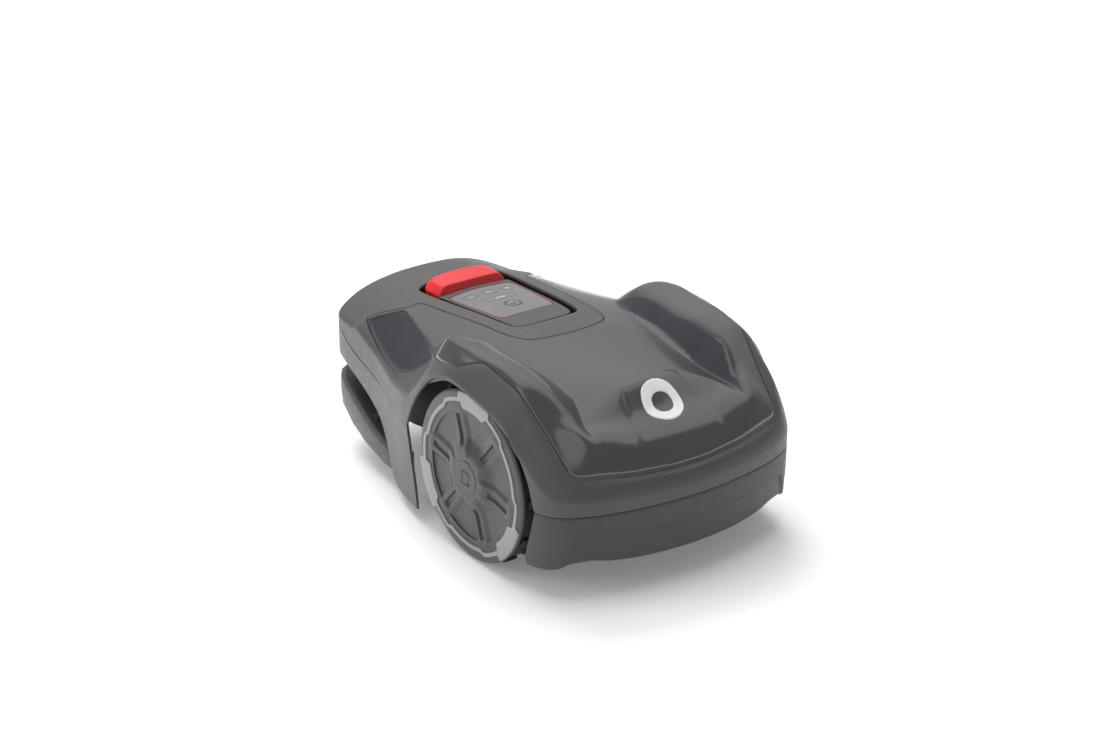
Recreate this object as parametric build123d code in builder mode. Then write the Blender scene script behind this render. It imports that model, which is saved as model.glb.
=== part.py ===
from build123d import *
import os
from math import cos, pi, sin, sqrt

# Robotic lawn mower. Millimetres, +Z up, ground at z = 0, X across, the bumper end faces -Y.
# Everything is drawn from a datum 19.5 mm ahead of the middle of the mower's length; save()
# moves each piece so that the origin is on the ground under the middle.

# ---------------------------------------------------------------- driving dimensions
MIDDLE_Y = 19.5        # middle of the overall length
WHEEL_Y = -83          # drive wheel axis
AXLE_Z = 106
LUG_R = 106            # over the tread lugs
TYRE_R = 101
TYRE_BORE_R = 88
WHEEL_IN_X = 140       # inner face of the tyre
WHEEL_OUT_X = 178      # outer sidewall of the tyre
LUG_COUNT = 24

SHELL_WALL = 3.2       # side walls of the floating body
SHELL_DROP = 6         # top skin of the body shell, measured straight down
COVER_DROP = 2.6       # thickness of the glossy top cover
POCKET_DROP = 3        # depth of the recess the cover lies in
SEAM = 0.3             # half the gap along a seam

FLOOR_Z = 66           # underside of the chassis tub
RIM_Z = 150            # top of the tub
LID_Z = 180            # top of the chassis lid
WALL = 3

CUTTER_Y = -60         # cutting disc axis
DISC_Z = 29
DISC_R = 88
BLADE_PIVOT_R = 80
TOWER_R = 42
LIFT = 30              # cutting height travel

MODULE = 1.4           # drive gears
GEAR_TEETH = 45
PINION_TEETH = 15
MOTOR_Y = WHEEL_Y + MODULE * (GEAR_TEETH + PINION_TEETH) / 2
GEARBOX_Y = MOTOR_Y - 30
GEAR_IN_X = 100
GEAR_OUT_X = 112

CASTER_Y = 208         # swivel axis
CASTER_R = 28
CASTER_TRAIL = 16

STOP_Y = (178, 216)    # stop button, front and rear
KEY_TOP = 217.2

SIDES = (("left", -1), ("right", 1))

os.makedirs("parts", exist_ok=True)


# ---------------------------------------------------------------- helpers
def save(part, name):
    part = Pos(0, -MIDDLE_Y, 0) * part
    part.label = name
    export_step(part, f"parts/{name}.step")


def blend_min(a, b, k):
    return (a + b - sqrt((a - b) ** 2 + k * k)) / 2


def blend_max(a, b, k):
    return (a + b + sqrt((a - b) ** 2 + k * k)) / 2


def curve(*knots):
    """A smooth function through (position, value) knots that never overshoots them."""
    xs = [k[0] for k in knots]
    ys = [k[1] for k in knots]
    steps = [b - a for a, b in zip(xs, xs[1:])]
    slopes = [(b - a) / h for a, b, h in zip(ys, ys[1:], steps)]
    tangents = [slopes[0]]
    for before, after in zip(slopes, slopes[1:]):
        turns = before * after <= 0
        tangents.append(0 if turns else 2 * before * after / (before + after))
    tangents.append(slopes[-1])

    def value(x):
        x = min(max(x, xs[0]), xs[-1])
        i = 0
        while i < len(steps) - 1 and x > xs[i + 1]:
            i += 1
        h = steps[i]
        t = (x - xs[i]) / h
        ends = (1 + 2 * t) * (1 - t) ** 2 * ys[i] + t * t * (3 - 2 * t) * ys[i + 1]
        return ends + t * (1 - t) * h * ((1 - t) * tangents[i] - t * tangents[i + 1])

    return value


# ---------------------------------------------------------------- outer form of the body
half_width = curve((-280, 186), (-200, 190), (-80, 191), (10, 190), (60, 183), (110, 170),
                   (175, 152), (243, 142), (300, 134))
centre_height = curve((-290, 214), (-187, 216), (-130, 221.5), (-80, 224.5), (-30, 226.5),
                      (40, 226.5), (150, 222), (230, 217), (310, 212))
crown = curve((-240, 30), (-178, 27), (-145, 24), (-107, 19), (-80, 15), (-53, 12), (-9, 11), (60, 13),
              (120, 15), (200, 17), (250, 24), (310, 26))
ridge_height = curve((-290, 192), (-200, 207), (-180, 219), (-165, 228.5), (-140, 239), (-100, 246.5),
                     (-60, 247.5), (-35, 249), (-15, 247.5), (10, 241), (32, 230), (50, 217),
                     (80, 190), (120, 150))
ridge_x = curve((-260, 141), (-200, 143), (-140, 147), (-35, 150), (40, 152), (80, 153))
wall_x = curve((-190, 126), (-172, 125), (-152, 120), (-112, 116.5), (-80, 115), (-20, 118), (35, 114))
ridge_fall = curve((0, 0), (8, 1.8), (16, 6.8), (33, 15.5), (42, 25), (60, 60))
nose_slope = curve((0, 0.63), (50, 0.70), (95, 0.84), (130, 0.98), (190, 1.0))
shoulder = curve((-272, 137), (-232, 140), (-190, 171), (-172, 184), (-150, 204), (-100, 216),
                 (-50, 226), (0, 208), (48, 166), (90, 160), (110, 161), (200, 174), (260, 192),
                 (300, 198))
lean = curve((-272, 3), (-190, 2.2), (-150, 1.4), (-50, 1), (0, 1.3), (48, 1.1), (110, 1),
             (200, 0.77), (300, 0.7))
tail = curve((-20, 150), (4, 194), (9, 202), (16, 209), (30, 217), (60, 240), (120, 400))
split_line = ((-290, 107), (-200, 107), (54, 121), (110, 126), (175, 132), (243, 143), (270, 153),
              (285, 164), (310, 170))


def side_distance(x, y):
    """Distance in from the sides and the front edge, blended round the front corners."""
    return blend_min(half_width(y) - x, y + 275 - 12 * (x / 110) ** 2, 38)


def rear_distance(x, y):
    return 310 - 5 * (x / 95) ** 2 - y


def top_height(x, y):
    """Height of the outer skin: hood, wheel fenders, nose, flanks and tail, blended."""
    x = abs(x)
    hood = centre_height(y) - crown(y) * (x / 105) ** 2
    out = x - ridge_x(y)
    inward = ridge_x(y) - wall_x(y)
    roof = ridge_height(y) - (0.010 * out * out if out < 0 else ridge_fall(out))
    wall = ridge_height(y) - 0.010 * inward ** 2 - 0.85 * (wall_x(y) - x)
    top = blend_max(hood, blend_min(roof, wall, 3), 5)
    ahead = max(y + 260 - 12 * (x / 94) ** 2, -30)
    bow = 0.0033 * max(0, 1 - x / 95)
    nose = 147 + 8 * (x / 150) ** 2 + nose_slope(x) * ahead + bow * ahead * abs(ahead)
    flank = shoulder(y) + lean(y) * (max(side_distance(x, y), -9) - 4)
    skin = blend_min(blend_min(top, nose, 6), flank, 2.5)
    return blend_min(skin, tail(rear_distance(x, y)), 4)


def outline_points(inset, count=28):
    """Half plan outline, front to rear, where the skin is `inset` in from the edge."""
    points = []
    for k in range(count + 1):
        angle = -pi / 2 + pi * k / count
        near, far = 0, 400
        for _ in range(30):
            middle = (near + far) / 2
            x, y = middle * cos(angle), 10 + middle * sin(angle)
            if blend_min(side_distance(x, y), rear_distance(x, y), 14) > inset:
                near = middle
            else:
                far = middle
        points.append((near * cos(angle) if 0 < k < count else 0, 10 + near * sin(angle)))
    return points


def body_prism(inset, low, high):
    with BuildPart() as prism:
        with BuildSketch(Plane.XY.offset(low)):
            points = outline_points(inset)
            with BuildLine():
                for k in range(0, len(points) - 2, 2):
                    ThreePointArc(*points[k:k + 3])
                mirror(about=Plane.YZ)
            make_face()
        extrude(amount=high - low)
    return prism.part


def below_skin(drop):
    """Everything under the outer skin moved straight down by `drop`, as one lofted block."""
    half = (0, 30, 60, 80, 92, 100, 106, 112, 118, 126, 136, 146, 156, 166, 176, 184, 190, 200)
    across = [-x for x in half[:0:-1]] + list(half)
    stations = (-284, -262, -240, -215, -190, -165, -140, -100, -60, -25, 5, 35, 65, 110, 160, 210,
                250, 280, 312)
    with BuildPart() as block:
        for y in stations:
            with BuildSketch(Plane.XZ.offset(-y)):
                with BuildLine():
                    skin = [Vector(x, top_height(x, y) - drop) for x in across]
                    top = add(Edge.make_spline(skin, parameters=[(x + 200) / 400 for x in across]))
                    Polyline(skin[-1], (200, -20), (-200, -20), skin[0])
                make_face()
        loft()
    return block.part


def plan_block(half_points, low, high, corner=0.0):
    """A prism on a plan outline given as its right half, mirrored about the centre plane."""
    with BuildPart() as block:
        with BuildSketch(Plane.XY.offset(low)) as plan:
            left = [(-x, y) for x, y in reversed(half_points) if x > 0]
            with BuildLine():
                Polyline(*half_points, *left, close=True)
            make_face()
            if corner:
                fillet([v for v in plan.vertices() if abs(v.X) > 1], corner)
        extrude(amount=high - low)
    return block.part


def side_block(points, inner=-220, outer=220):
    """A prism on an outline in the side view, running across from x = inner to x = outer."""
    with BuildPart() as block:
        with BuildSketch(Plane.YZ.offset(inner)):
            with BuildLine():
                Polyline(*points, close=True)
            make_face()
        extrude(amount=outer - inner)
    return block.part


# ---------------------------------------------------------------- outlines of the shells
cover_outline = [(0, -260), (51, -256), (94, -248), (134, -237), (148, -228), (152, -207),
                 (156, -180), (161, -150), (162, -100), (161, -80), (178, -56), (178, -20),
                 (166, 18), (149, 42), (163, 90), (157, 130), (145, 175), (131, 222), (122, 226),
                 (98, 190), (80, 182), (76, 140), (69, 30), (60, -16), (44, -28), (0, -35)]
opening_outline = [(0, 12), (40, 18), (50, 32), (60, 175), (60, 206), (50, 224), (0, 227)]
arch_outline = [(-185, 0), (-197, 79), (-203, 109), (-194, 140), (-177, 170), (-148, 192),
                (-109, 209), (-68, 213), (-42, 214), (-15, 206), (9, 185), (34, 155), (54, 121),
                (35, 0)]
above_split = [*split_line, (310, 400), (-290, 400)]
below_split = [*split_line, (310, -20), (-290, -20)]

body_outer = body_prism(0, -5, 300)
body_inner = body_prism(SHELL_WALL, -6, 299)
skin_block = below_skin(0)
arches = [side_block(arch_outline, 150, 220), side_block(arch_outline, -220, -150)]


# ---------------------------------------------------------------- floating body
def make_body_shell():
    hollow = body_inner & below_skin(SHELL_DROP)
    cover_recess = plan_block(cover_outline, 100, 300) - below_skin(POCKET_DROP)
    console_opening = plan_block(opening_outline, 150, 300, 4)
    skirt_region = side_block(below_split)
    with BuildPart() as shell:
        add(body_outer)
        add(skin_block, mode=Mode.INTERSECT)
        add(hollow, mode=Mode.SUBTRACT)
        add(skirt_region, mode=Mode.SUBTRACT)
        add(arches, mode=Mode.SUBTRACT)
        add(console_opening, mode=Mode.SUBTRACT)
        add(cover_recess, mode=Mode.SUBTRACT)
        with Locations((0, CUTTER_Y, 150)):
            Cylinder(31, 150, mode=Mode.SUBTRACT)
    return shell.part


def make_top_cover():
    outline = plan_block(cover_outline, 119, 120).faces().sort_by(Axis.Z)[-1]
    underside = below_skin(COVER_DROP)
    with BuildPart() as cover:
        with BuildSketch(Plane.XY.offset(120)):
            add(outline)
            offset(amount=-SEAM, kind=Kind.INTERSECTION)
        extrude(amount=180)
        add(skin_block, mode=Mode.INTERSECT)
        add(underside, mode=Mode.SUBTRACT)
    return cover.part


def make_skirt(side_outline):
    side_view = side_block(side_outline)
    with BuildPart() as skirt:
        add(body_outer)
        add(body_inner, mode=Mode.SUBTRACT)
        add(side_view, mode=Mode.INTERSECT)
    return skirt.part


def make_badge():
    raised = Pos(0, 0, 1.2) * skin_block
    seat = Pos(0, 0, 0.02) * skin_block
    with BuildPart() as badge:
        with BuildSketch(Plane.XY.offset(120)):
            with Locations((0, -204)):
                Ellipse(21, 17)
        extrude(amount=180)
        add(raised, mode=Mode.INTERSECT)
        add(seat, mode=Mode.SUBTRACT)
    return badge.part


bumper_outline = [(-290, 106.6), (-290, 42), (-262, 44), (-247, 48), (-232, 44), (-205, 38),
                  (-188, 33), (-187, 41), (-197, 79), (-203, 106.6)]
skirt_outline = [(54, 120.6), (35, 16), (98, 14), (121, 30), (140, 60), (175, 87), (230, 106),
                 (310, 120), (310, 169.4), (285, 163.4), (270, 152.4), (243, 142.4), (175, 131.4),
                 (110, 125.4)]

save(make_body_shell(), "body_shell")
save(make_top_cover(), "top_cover")
save(make_skirt(bumper_outline), "front_bumper")
save(make_skirt(skirt_outline), "rear_skirt")
save(make_badge(), "badge")

# ---------------------------------------------------------------- sprung posts that carry the body
POSTS = [(-72, -150), (72, -150), (-72, 240), (72, 240)]
with BuildPart() as float_posts:
    for x, y in POSTS:
        with BuildSketch(Plane.XY.offset(LID_Z + 1)):
            with Locations((x, y)):
                Circle(11)
        extrude(amount=3)
        with BuildSketch(Plane.XY.offset(LID_Z + 4)):
            with Locations((x, y)):
                Circle(7)
        extrude(amount=5)
save(float_posts.part, "float_posts")

# ---------------------------------------------------------------- chassis
tub_outline = [(0, -196), (70, -193), (92, -182), (95, -170), (95, 96), (110, 150), (110, 238),
               (92, 262), (0, 264)]
handle_outline = [(0, 312), (95, 308), (122, 300), (134, 280), (143, 243), (151, 200), (156, 150),
                  (155, 120), (133, 120), (132, 150), (127, 200), (119, 243), (110, 272), (88, 288),
                  (0, 297)]
tub_inside = [(x - WALL if x > WALL else x, y + WALL if y < 0 else y) for x, y in tub_outline[:5]]
tub_inside += [(107, 152), (107, 236), (90, 259), (0, 261)]
flange_outline = [(0, -203), (74, -200), (101, -187), (103, -170), (103, 96), (117, 150),
                  (117, 241), (96, 270), (0, 272)]
BOARD_POSTS = [(-74, 92), (74, 92), (-74, 170), (74, 170)]
LID_SCREWS = [(-99, -160), (99, -160), (-99, 0), (99, 0), (-113.5, 165), (113.5, 165),
              (-60, 267.4), (60, 267.4)]
HATCH_SCREWS = [(-84, -178), (84, -178), (-84, -118), (84, -118)]
BATTERY_Y = -148


def make_chassis_lower():
    rear_pan = [(0, 255), (100, 240), (104, 190), (140, 190), (130, 245), (120, 280), (0, 304)]
    handle_side = [(100, 20), (118, 22), (183, 32), (239, 42), (283, 56), (320, 68), (320, 94),
                   (300, 92), (129, 46), (100, 42)]
    outside = plan_block(tub_outline, FLOOR_Z, RIM_Z, 5)
    flange = plan_block(flange_outline, RIM_Z - 4, RIM_Z, 5)
    inside = plan_block(tub_inside, FLOOR_Z + WALL, RIM_Z, 4)
    handle = plan_block(handle_outline, 20, 100) & side_block(handle_side)
    pan = plan_block(rear_pan, FLOOR_Z - 4, FLOOR_Z + 2, 3)
    with BuildPart() as tub:
        add(outside)
        add(flange)
        add(inside, mode=Mode.SUBTRACT)
        # carrying handle, which rises towards the rear, and the pan that joins it to the tub
        add(handle)
        add(pan)
        with BuildSketch(Plane.XY.offset(50)):
            with Locations((0, 281)):
                RectangleRounded(110, 30, 8)
        extrude(amount=28, mode=Mode.SUBTRACT)
        # posts for the main board and a boss for the caster stem
        with BuildSketch(Plane.XY.offset(FLOOR_Z)):
            with Locations(*BOARD_POSTS):
                Circle(4)
            with Locations((0, CASTER_Y)):
                Circle(14)
        extrude(amount=22)
        # openings: cutting unit, battery hatch, caster stem, motor shafts, screws
        with BuildSketch(Plane.XY.offset(FLOOR_Z - 6)):
            with Locations((0, CUTTER_Y)):
                Circle(TOWER_R - 4)
            with Locations((0, BATTERY_Y)):
                Rectangle(156, 44)
            with Locations((0, CASTER_Y)):
                Circle(8.05)
        extrude(amount=30, mode=Mode.SUBTRACT)
        for sign in (-1, 1):
            with BuildSketch(Plane.YZ.offset(sign * 85)):
                with Locations((MOTOR_Y, AXLE_Z)):
                    Circle(8)
            extrude(amount=sign * 14, mode=Mode.SUBTRACT)
        with Locations(*[(x, y, RIM_Z) for x, y in LID_SCREWS]):
            Cylinder(1.6, 20, mode=Mode.SUBTRACT)
        with Locations(*[(x, y, FLOOR_Z) for x, y in HATCH_SCREWS]):
            Cylinder(1.6, 20, mode=Mode.SUBTRACT)
    return tub.part


def make_chassis_upper():
    lid_base = RIM_Z + 1.5
    flange = plan_block(flange_outline, lid_base, lid_base + 4, 5)
    outside = plan_block(tub_outline, lid_base, LID_Z, 5)
    inside = plan_block(tub_inside, lid_base, LID_Z - WALL, 4)
    with BuildPart() as lid:
        add(flange)
        add(outside)
        chamfer(lid.faces().sort_by(Axis.Z)[-1].edges(), 3)
        add(inside, mode=Mode.SUBTRACT)
        with Locations((0, CUTTER_Y, LID_Z)):
            Cylinder(5.05, 30, mode=Mode.SUBTRACT)
        with Locations((0, 120, LID_Z)):
            Box(60, 90, 20, mode=Mode.SUBTRACT)
        with Locations(*[(x, y, lid_base) for x, y in LID_SCREWS]):
            Cylinder(2.2, 20, mode=Mode.SUBTRACT)
    return lid.part


save(make_chassis_lower(), "chassis_lower")
save(make_chassis_upper(), "chassis_upper")

seal_outside = plan_block(flange_outline, RIM_Z, RIM_Z + 1.5, 5)
seal_inside = plan_block(tub_inside, RIM_Z, RIM_Z + 1.5, 4)
with BuildPart() as chassis_seal:
    add(seal_outside)
    add(seal_inside, mode=Mode.SUBTRACT)
    with Locations(*[(x, y, RIM_Z) for x, y in LID_SCREWS]):
        Cylinder(2.2, 20, mode=Mode.SUBTRACT)
save(chassis_seal.part, "chassis_seal")

with BuildPart() as chassis_screws:
    with Locations(*[(x, y, RIM_Z - 2) for x, y in LID_SCREWS]):
        Cylinder(1.58, 15, align=(Align.CENTER, Align.CENTER, Align.MIN))
    with Locations(*[(x, y, RIM_Z + 5.5) for x, y in LID_SCREWS]):
        Cylinder(3.4, 2.6, align=(Align.CENTER, Align.CENTER, Align.MIN))
        Cylinder(1.4, 2.6, align=(Align.CENTER, Align.CENTER, Align.MIN), mode=Mode.SUBTRACT)
    with Locations(*[(x, y, FLOOR_Z - 2) for x, y in HATCH_SCREWS]):
        Cylinder(1.58, 6, align=(Align.CENTER, Align.CENTER, Align.MIN))
    with Locations(*[(x, y, FLOOR_Z - 2.8) for x, y in HATCH_SCREWS]):
        Cylinder(3.4, 1.8, align=(Align.CENTER, Align.CENTER, Align.MIN))
save(chassis_screws.part, "chassis_screws")

# ---------------------------------------------------------------- battery and electronics
with BuildPart() as battery_pack:
    with BuildSketch(Plane.XY.offset(FLOOR_Z + 4)):
        with Locations((0, BATTERY_Y)):
            RectangleRounded(148, 68, 6)
    extrude(amount=48)
    chamfer(battery_pack.faces().sort_by(Axis.Z)[-1].edges(), 2)
save(battery_pack.part, "battery_pack")

with BuildPart() as battery_hatch:
    with BuildSketch(Plane.XY.offset(FLOOR_Z - 3)):
        with Locations((0, BATTERY_Y)):
            RectangleRounded(178, 72, 6)
    extrude(amount=3)
    with BuildSketch(Plane.XY.offset(FLOOR_Z)):
        with Locations((0, BATTERY_Y)):
            Rectangle(154, 42)
    extrude(amount=2.5)
    with Locations(*[(x, y, FLOOR_Z) for x, y in HATCH_SCREWS]):
        Cylinder(1.8, 20, mode=Mode.SUBTRACT)
    with Locations(*[(x, y, FLOOR_Z - 3) for x, y in HATCH_SCREWS]):
        Cylinder(3.6, 4, mode=Mode.SUBTRACT)
save(battery_hatch.part, "battery_hatch")

BOARD_Z = FLOOR_Z + 22
with BuildPart() as main_board:
    with Locations((0, 131, BOARD_Z + 0.8)):
        Box(164, 92, 1.6)
    with Locations((-50, 120, BOARD_Z + 7), (40, 150, BOARD_Z + 7)):
        Box(26, 18, 11)
    with Locations((0, 150, BOARD_Z + 4), (62, 105, BOARD_Z + 4)):
        Box(20, 20, 5)
save(main_board.part, "main_board")

with BuildPart() as loop_sensors:
    for x in (-50, 50):
        with Locations((x, -188.2, 130)):
            Box(30, 1.6, 20)
        with Locations((x, -184.9, 130)):
            Box(22, 5, 8)
save(loop_sensors.part, "loop_sensors")

with BuildPart() as charging_contacts:
    for x in (-38, 38):
        with BuildSketch(Plane.XZ.offset(196.1)):
            with Locations((x, 96)):
                RectangleRounded(14, 34, 3)
        extrude(amount=2.5)
save(charging_contacts.part, "charging_contacts")

with BuildPart() as wiring_harness:
    with BuildLine() as cable_path:
        FilletPolyline((62, 84, 86), (62, 60, 76), (62, -96, 76), (62, -111, 84), radius=8)
    with BuildSketch(Plane(cable_path.line @ 0, z_dir=cable_path.line % 0)):
        Circle(3)
    sweep()
save(wiring_harness.part, "wiring_harness")


# ---------------------------------------------------------------- console
console_outline = [(0, 20), (34, 26), (43, 40), (52, 172), (52, 206), (42, 217), (0, 219)]
console_core = [(0, 30), (30, 34), (37, 44), (46, 168), (46, 204), (38, 211), (0, 212)]
panel_outline = [(0, 58), (36, 60), (41.5, 66), (47, 160), (45, 164), (0, 164)]
DISPLAY_POSTS = [(-32, 72), (32, 72), (-32, 148), (32, 148)]
KEYS = (("mode", -27, 145, 17, 13), ("park", 0, 145, 17, 13), ("light", 27, 145, 17, 13),
        ("start", 0, 121, 46, 12), ("power", 0, 92, 22, 22))


def key_sketch(x, y, wide, deep, grow):
    with BuildSketch() as key:
        with Locations((x, y)):
            if wide == deep:
                Circle(wide / 2 + grow)
            else:
                RectangleRounded(wide + 2 * grow, deep + 2 * grow, 2.5)
    return key.sketch


def make_console_housing():
    outside = plan_block(console_outline, LID_Z, 240, 3)
    sunk_skin = below_skin(4)
    core = plan_block(console_core, LID_Z + 3, 196, 3)
    panel_seat = plan_block(panel_outline, KEY_TOP - 3, 240, 2)
    with BuildPart() as housing:
        add(outside)
        add(sunk_skin, mode=Mode.INTERSECT)
        add(core, mode=Mode.SUBTRACT)
        # seat of the key panel, the gap under it, and the deep recess of the stop button
        add(panel_seat, mode=Mode.SUBTRACT)
        with Locations((0, 111, 208)):
            Box(80, 90, 16, mode=Mode.SUBTRACT)
        with Locations((0, 120, LID_Z)):
            Box(56, 86, 20, mode=Mode.SUBTRACT)
        with Locations((0, 197, 221.5)):
            Box(106, 44, 41, mode=Mode.SUBTRACT)
        # guide of the stop button, and posts for the display board
        with BuildSketch(Plane.XY.offset(190)):
            with Locations((0, 197)):
                Circle(9)
        extrude(amount=11)
        with BuildSketch(Plane.XY.offset(185)):
            with Locations((0, 197)):
                Circle(6.05)
        extrude(amount=20, mode=Mode.SUBTRACT)
        with BuildSketch(Plane.XY.offset(199)):
            with Locations(*DISPLAY_POSTS):
                Circle(2.5)
        extrude(amount=7.7)
    return housing.part


save(make_console_housing(), "console_housing")

panel_blank = plan_block([(max(x - 1.2, 0), y) for x, y in panel_outline], KEY_TOP - 2.8, 240, 2)
panel_skin = below_skin(4.4)
key_skin = below_skin(3.8)

with BuildPart() as key_panel:
    add(panel_blank)
    add(panel_skin, mode=Mode.INTERSECT)
    for name, x, y, wide, deep in KEYS:
        with BuildSketch(Plane.XY.offset(200)):
            add(key_sketch(x, y, wide, deep, 0.3))
        extrude(amount=40, mode=Mode.SUBTRACT)
save(key_panel.part, "key_panel")

for name, x, y, wide, deep in KEYS:
    with BuildPart() as key:
        with BuildSketch(Plane.XY.offset(211)):
            add(key_sketch(x, y, wide, deep, 0))
        extrude(amount=30)
        add(key_skin, mode=Mode.INTERSECT)
    save(key.part, f"key_{name}")

with BuildPart() as display_board:
    with Locations((0, 110, 207.5)):
        Box(72, 84, 1.6)
    with Locations((0, 118, 204.5)):
        Box(30, 20, 4.4)
save(display_board.part, "display_board")


def make_stop_button():
    front, rear = STOP_Y
    with BuildPart() as button:
        with BuildSketch(Plane.XZ.offset(-rear)):
            with BuildLine():
                Polyline((-45, 220), (-51, 213), (-51, 206), (51, 206), (51, 213), (45, 220))
                ThreePointArc((-45, 220), (0, 228), (45, 220))
            make_face()
        extrude(amount=rear - front)
        # the front face leans back and the crown falls a little towards it
        with BuildSketch(Plane.YZ.offset(-60)):
            with BuildLine():
                Polyline((front - 1, 211), (front + 3, 223), (rear - 0.9, 228.3), (rear + 1, 218),
                         (rear + 1, 240), (front - 1, 240), close=True)
            make_face()
        extrude(amount=120, mode=Mode.SUBTRACT)
        with BuildSketch(Plane.XY.offset(190)):
            with Locations((0, 197)):
                Circle(6)
        extrude(amount=20)
    return button.part


save(make_stop_button(), "stop_button")


# ---------------------------------------------------------------- drive
def gear_points(teeth, start=0.0):
    """Straight-flanked spur gear outline with a tooth centred on the start angle."""
    pitch_r = MODULE * teeth / 2
    backlash = 0.12
    half_pitch = (pi * MODULE / 4 - backlash) / pitch_r
    points = []
    for k in range(teeth):
        middle = start + 2 * pi * k / teeth
        for radius, half in ((pitch_r - 1.2 * MODULE, half_pitch + 0.42 * MODULE / pitch_r),
                             (pitch_r + 0.8 * MODULE, half_pitch - 0.33 * MODULE / pitch_r)):
            points.append((radius, middle - half))
        for radius, half in ((pitch_r + 0.8 * MODULE, half_pitch - 0.33 * MODULE / pitch_r),
                             (pitch_r - 1.2 * MODULE, half_pitch + 0.42 * MODULE / pitch_r)):
            points.append((radius, middle + half))
    return [(r * cos(a), r * sin(a)) for r, a in points]


def make_gearbox(sign):
    with BuildPart() as box:
        with BuildSketch(Plane.YZ.offset(sign * 95.2)):
            with Locations((GEARBOX_Y, AXLE_Z)):
                RectangleRounded(102, 74, 10)
        extrude(amount=sign * 35.8)
        with BuildSketch(Plane.YZ.offset(sign * 95.2)):
            with Locations((GEARBOX_Y, AXLE_Z)):
                RectangleRounded(96, 68, 7)
        extrude(amount=sign * 24.8, mode=Mode.SUBTRACT)
        with BuildSketch(Plane.YZ.offset(sign * 110)):
            with Locations((WHEEL_Y, AXLE_Z)):
                Circle(13.02)
        extrude(amount=sign * 30, mode=Mode.SUBTRACT)
    return box.part


def make_motor(sign):
    with BuildPart() as motor:
        with BuildSketch(Plane.YZ.offset(sign * 45)):
            with Locations((MOTOR_Y, AXLE_Z)):
                Circle(17.5)
        extrude(amount=sign * 46)
        with BuildSketch(Plane.YZ.offset(sign * 70)):
            with Locations((MOTOR_Y, AXLE_Z)):
                Circle(2.55)
        extrude(amount=sign * 30, mode=Mode.SUBTRACT)
    return motor.part


def make_pinion(sign):
    with BuildPart() as pinion:
        with BuildSketch(Plane.YZ.offset(sign * GEAR_IN_X)):
            with BuildLine():
                Polyline(*[(y + MOTOR_Y, z + AXLE_Z) for y, z in gear_points(PINION_TEETH)], close=True)
            make_face()
        extrude(amount=sign * (GEAR_OUT_X - GEAR_IN_X))
        with BuildSketch(Plane.YZ.offset(sign * 71)):
            with Locations((MOTOR_Y, AXLE_Z)):
                Circle(2.5)
        extrude(amount=sign * 42)
    return pinion.part


def make_drive_gear(sign):
    with BuildPart() as gear:
        with BuildSketch(Plane.YZ.offset(sign * (GEAR_IN_X + 1))):
            with BuildLine():
                Polyline(*[(y + WHEEL_Y, z + AXLE_Z) for y, z in gear_points(GEAR_TEETH)], close=True)
            make_face()
            with Locations((WHEEL_Y, AXLE_Z)):
                Circle(6.02, mode=Mode.SUBTRACT)
                with PolarLocations(19, 6):
                    Circle(5.5, mode=Mode.SUBTRACT)
        extrude(amount=sign * (GEAR_OUT_X - GEAR_IN_X - 2))
    return gear.part


def ring_part(sign, low, high, outer_r, inner_r):
    with BuildPart() as ring:
        with BuildSketch(Plane.YZ.offset(sign * low)):
            with Locations((WHEEL_Y, AXLE_Z)):
                Circle(outer_r)
                Circle(inner_r, mode=Mode.SUBTRACT)
        extrude(amount=sign * (high - low))
    return ring.part


def make_tyre(sign):
    with BuildPart() as tyre:
        add(ring_part(sign, WHEEL_IN_X, WHEEL_OUT_X, TYRE_R, TYRE_BORE_R))
        outer_edges = tyre.edges().filter_by(GeomType.CIRCLE).sort_by(SortBy.RADIUS)[-2:]
        fillet(outer_edges, 4)
        for k in range(LUG_COUNT):
            low = WHEEL_IN_X + (2 if k % 2 else 16)
            with BuildSketch(Plane.YZ.offset(sign * low)):
                with Locations((WHEEL_Y, AXLE_Z)):
                    with PolarLocations(TYRE_R + 1, 1, start_angle=-90 + 360 * k / LUG_COUNT):
                        Rectangle(8, 9)
            extrude(amount=sign * 17)
        with BuildSketch(Plane.YZ.offset(sign * WHEEL_IN_X)):
            with Locations((WHEEL_Y, AXLE_Z)):
                Circle(LUG_R)
        extrude(amount=sign * (WHEEL_OUT_X - WHEEL_IN_X), mode=Mode.INTERSECT)
    return tyre.part


def make_rim(sign):
    with BuildPart() as rim:
        add(ring_part(sign, WHEEL_IN_X + 1, 179, TYRE_BORE_R - 0.05, 82))
        add(ring_part(sign, 178.4, 183, 103.5, 70))
        add(ring_part(sign, 160, 165, 83, 14))
        add(ring_part(sign, 137, 172, 16, 6.02))
        with BuildSketch(Plane.YZ.offset(sign * 165)):
            with Locations((WHEEL_Y, AXLE_Z)):
                with PolarLocations(48, 6):
                    Rectangle(68, 4)
        extrude(amount=sign * 7)
    return rim.part


def make_wheel_ring(sign):
    """Pale trim: a thin band round the cap with three wide patches out to the rim edge."""
    with BuildPart() as ring:
        with BuildSketch(Plane.YZ.offset(sign * 183)):
            with Locations((WHEEL_Y, AXLE_Z)):
                Circle(102.5)
                for k in range(3):
                    with PolarLocations(100, 1, start_angle=38 * sign + 120 * k):
                        Rectangle(14, 120, mode=Mode.SUBTRACT)
                Circle(93)
                Circle(86.5, mode=Mode.SUBTRACT)
        extrude(amount=sign * 2.5)
    return ring.part


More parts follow.
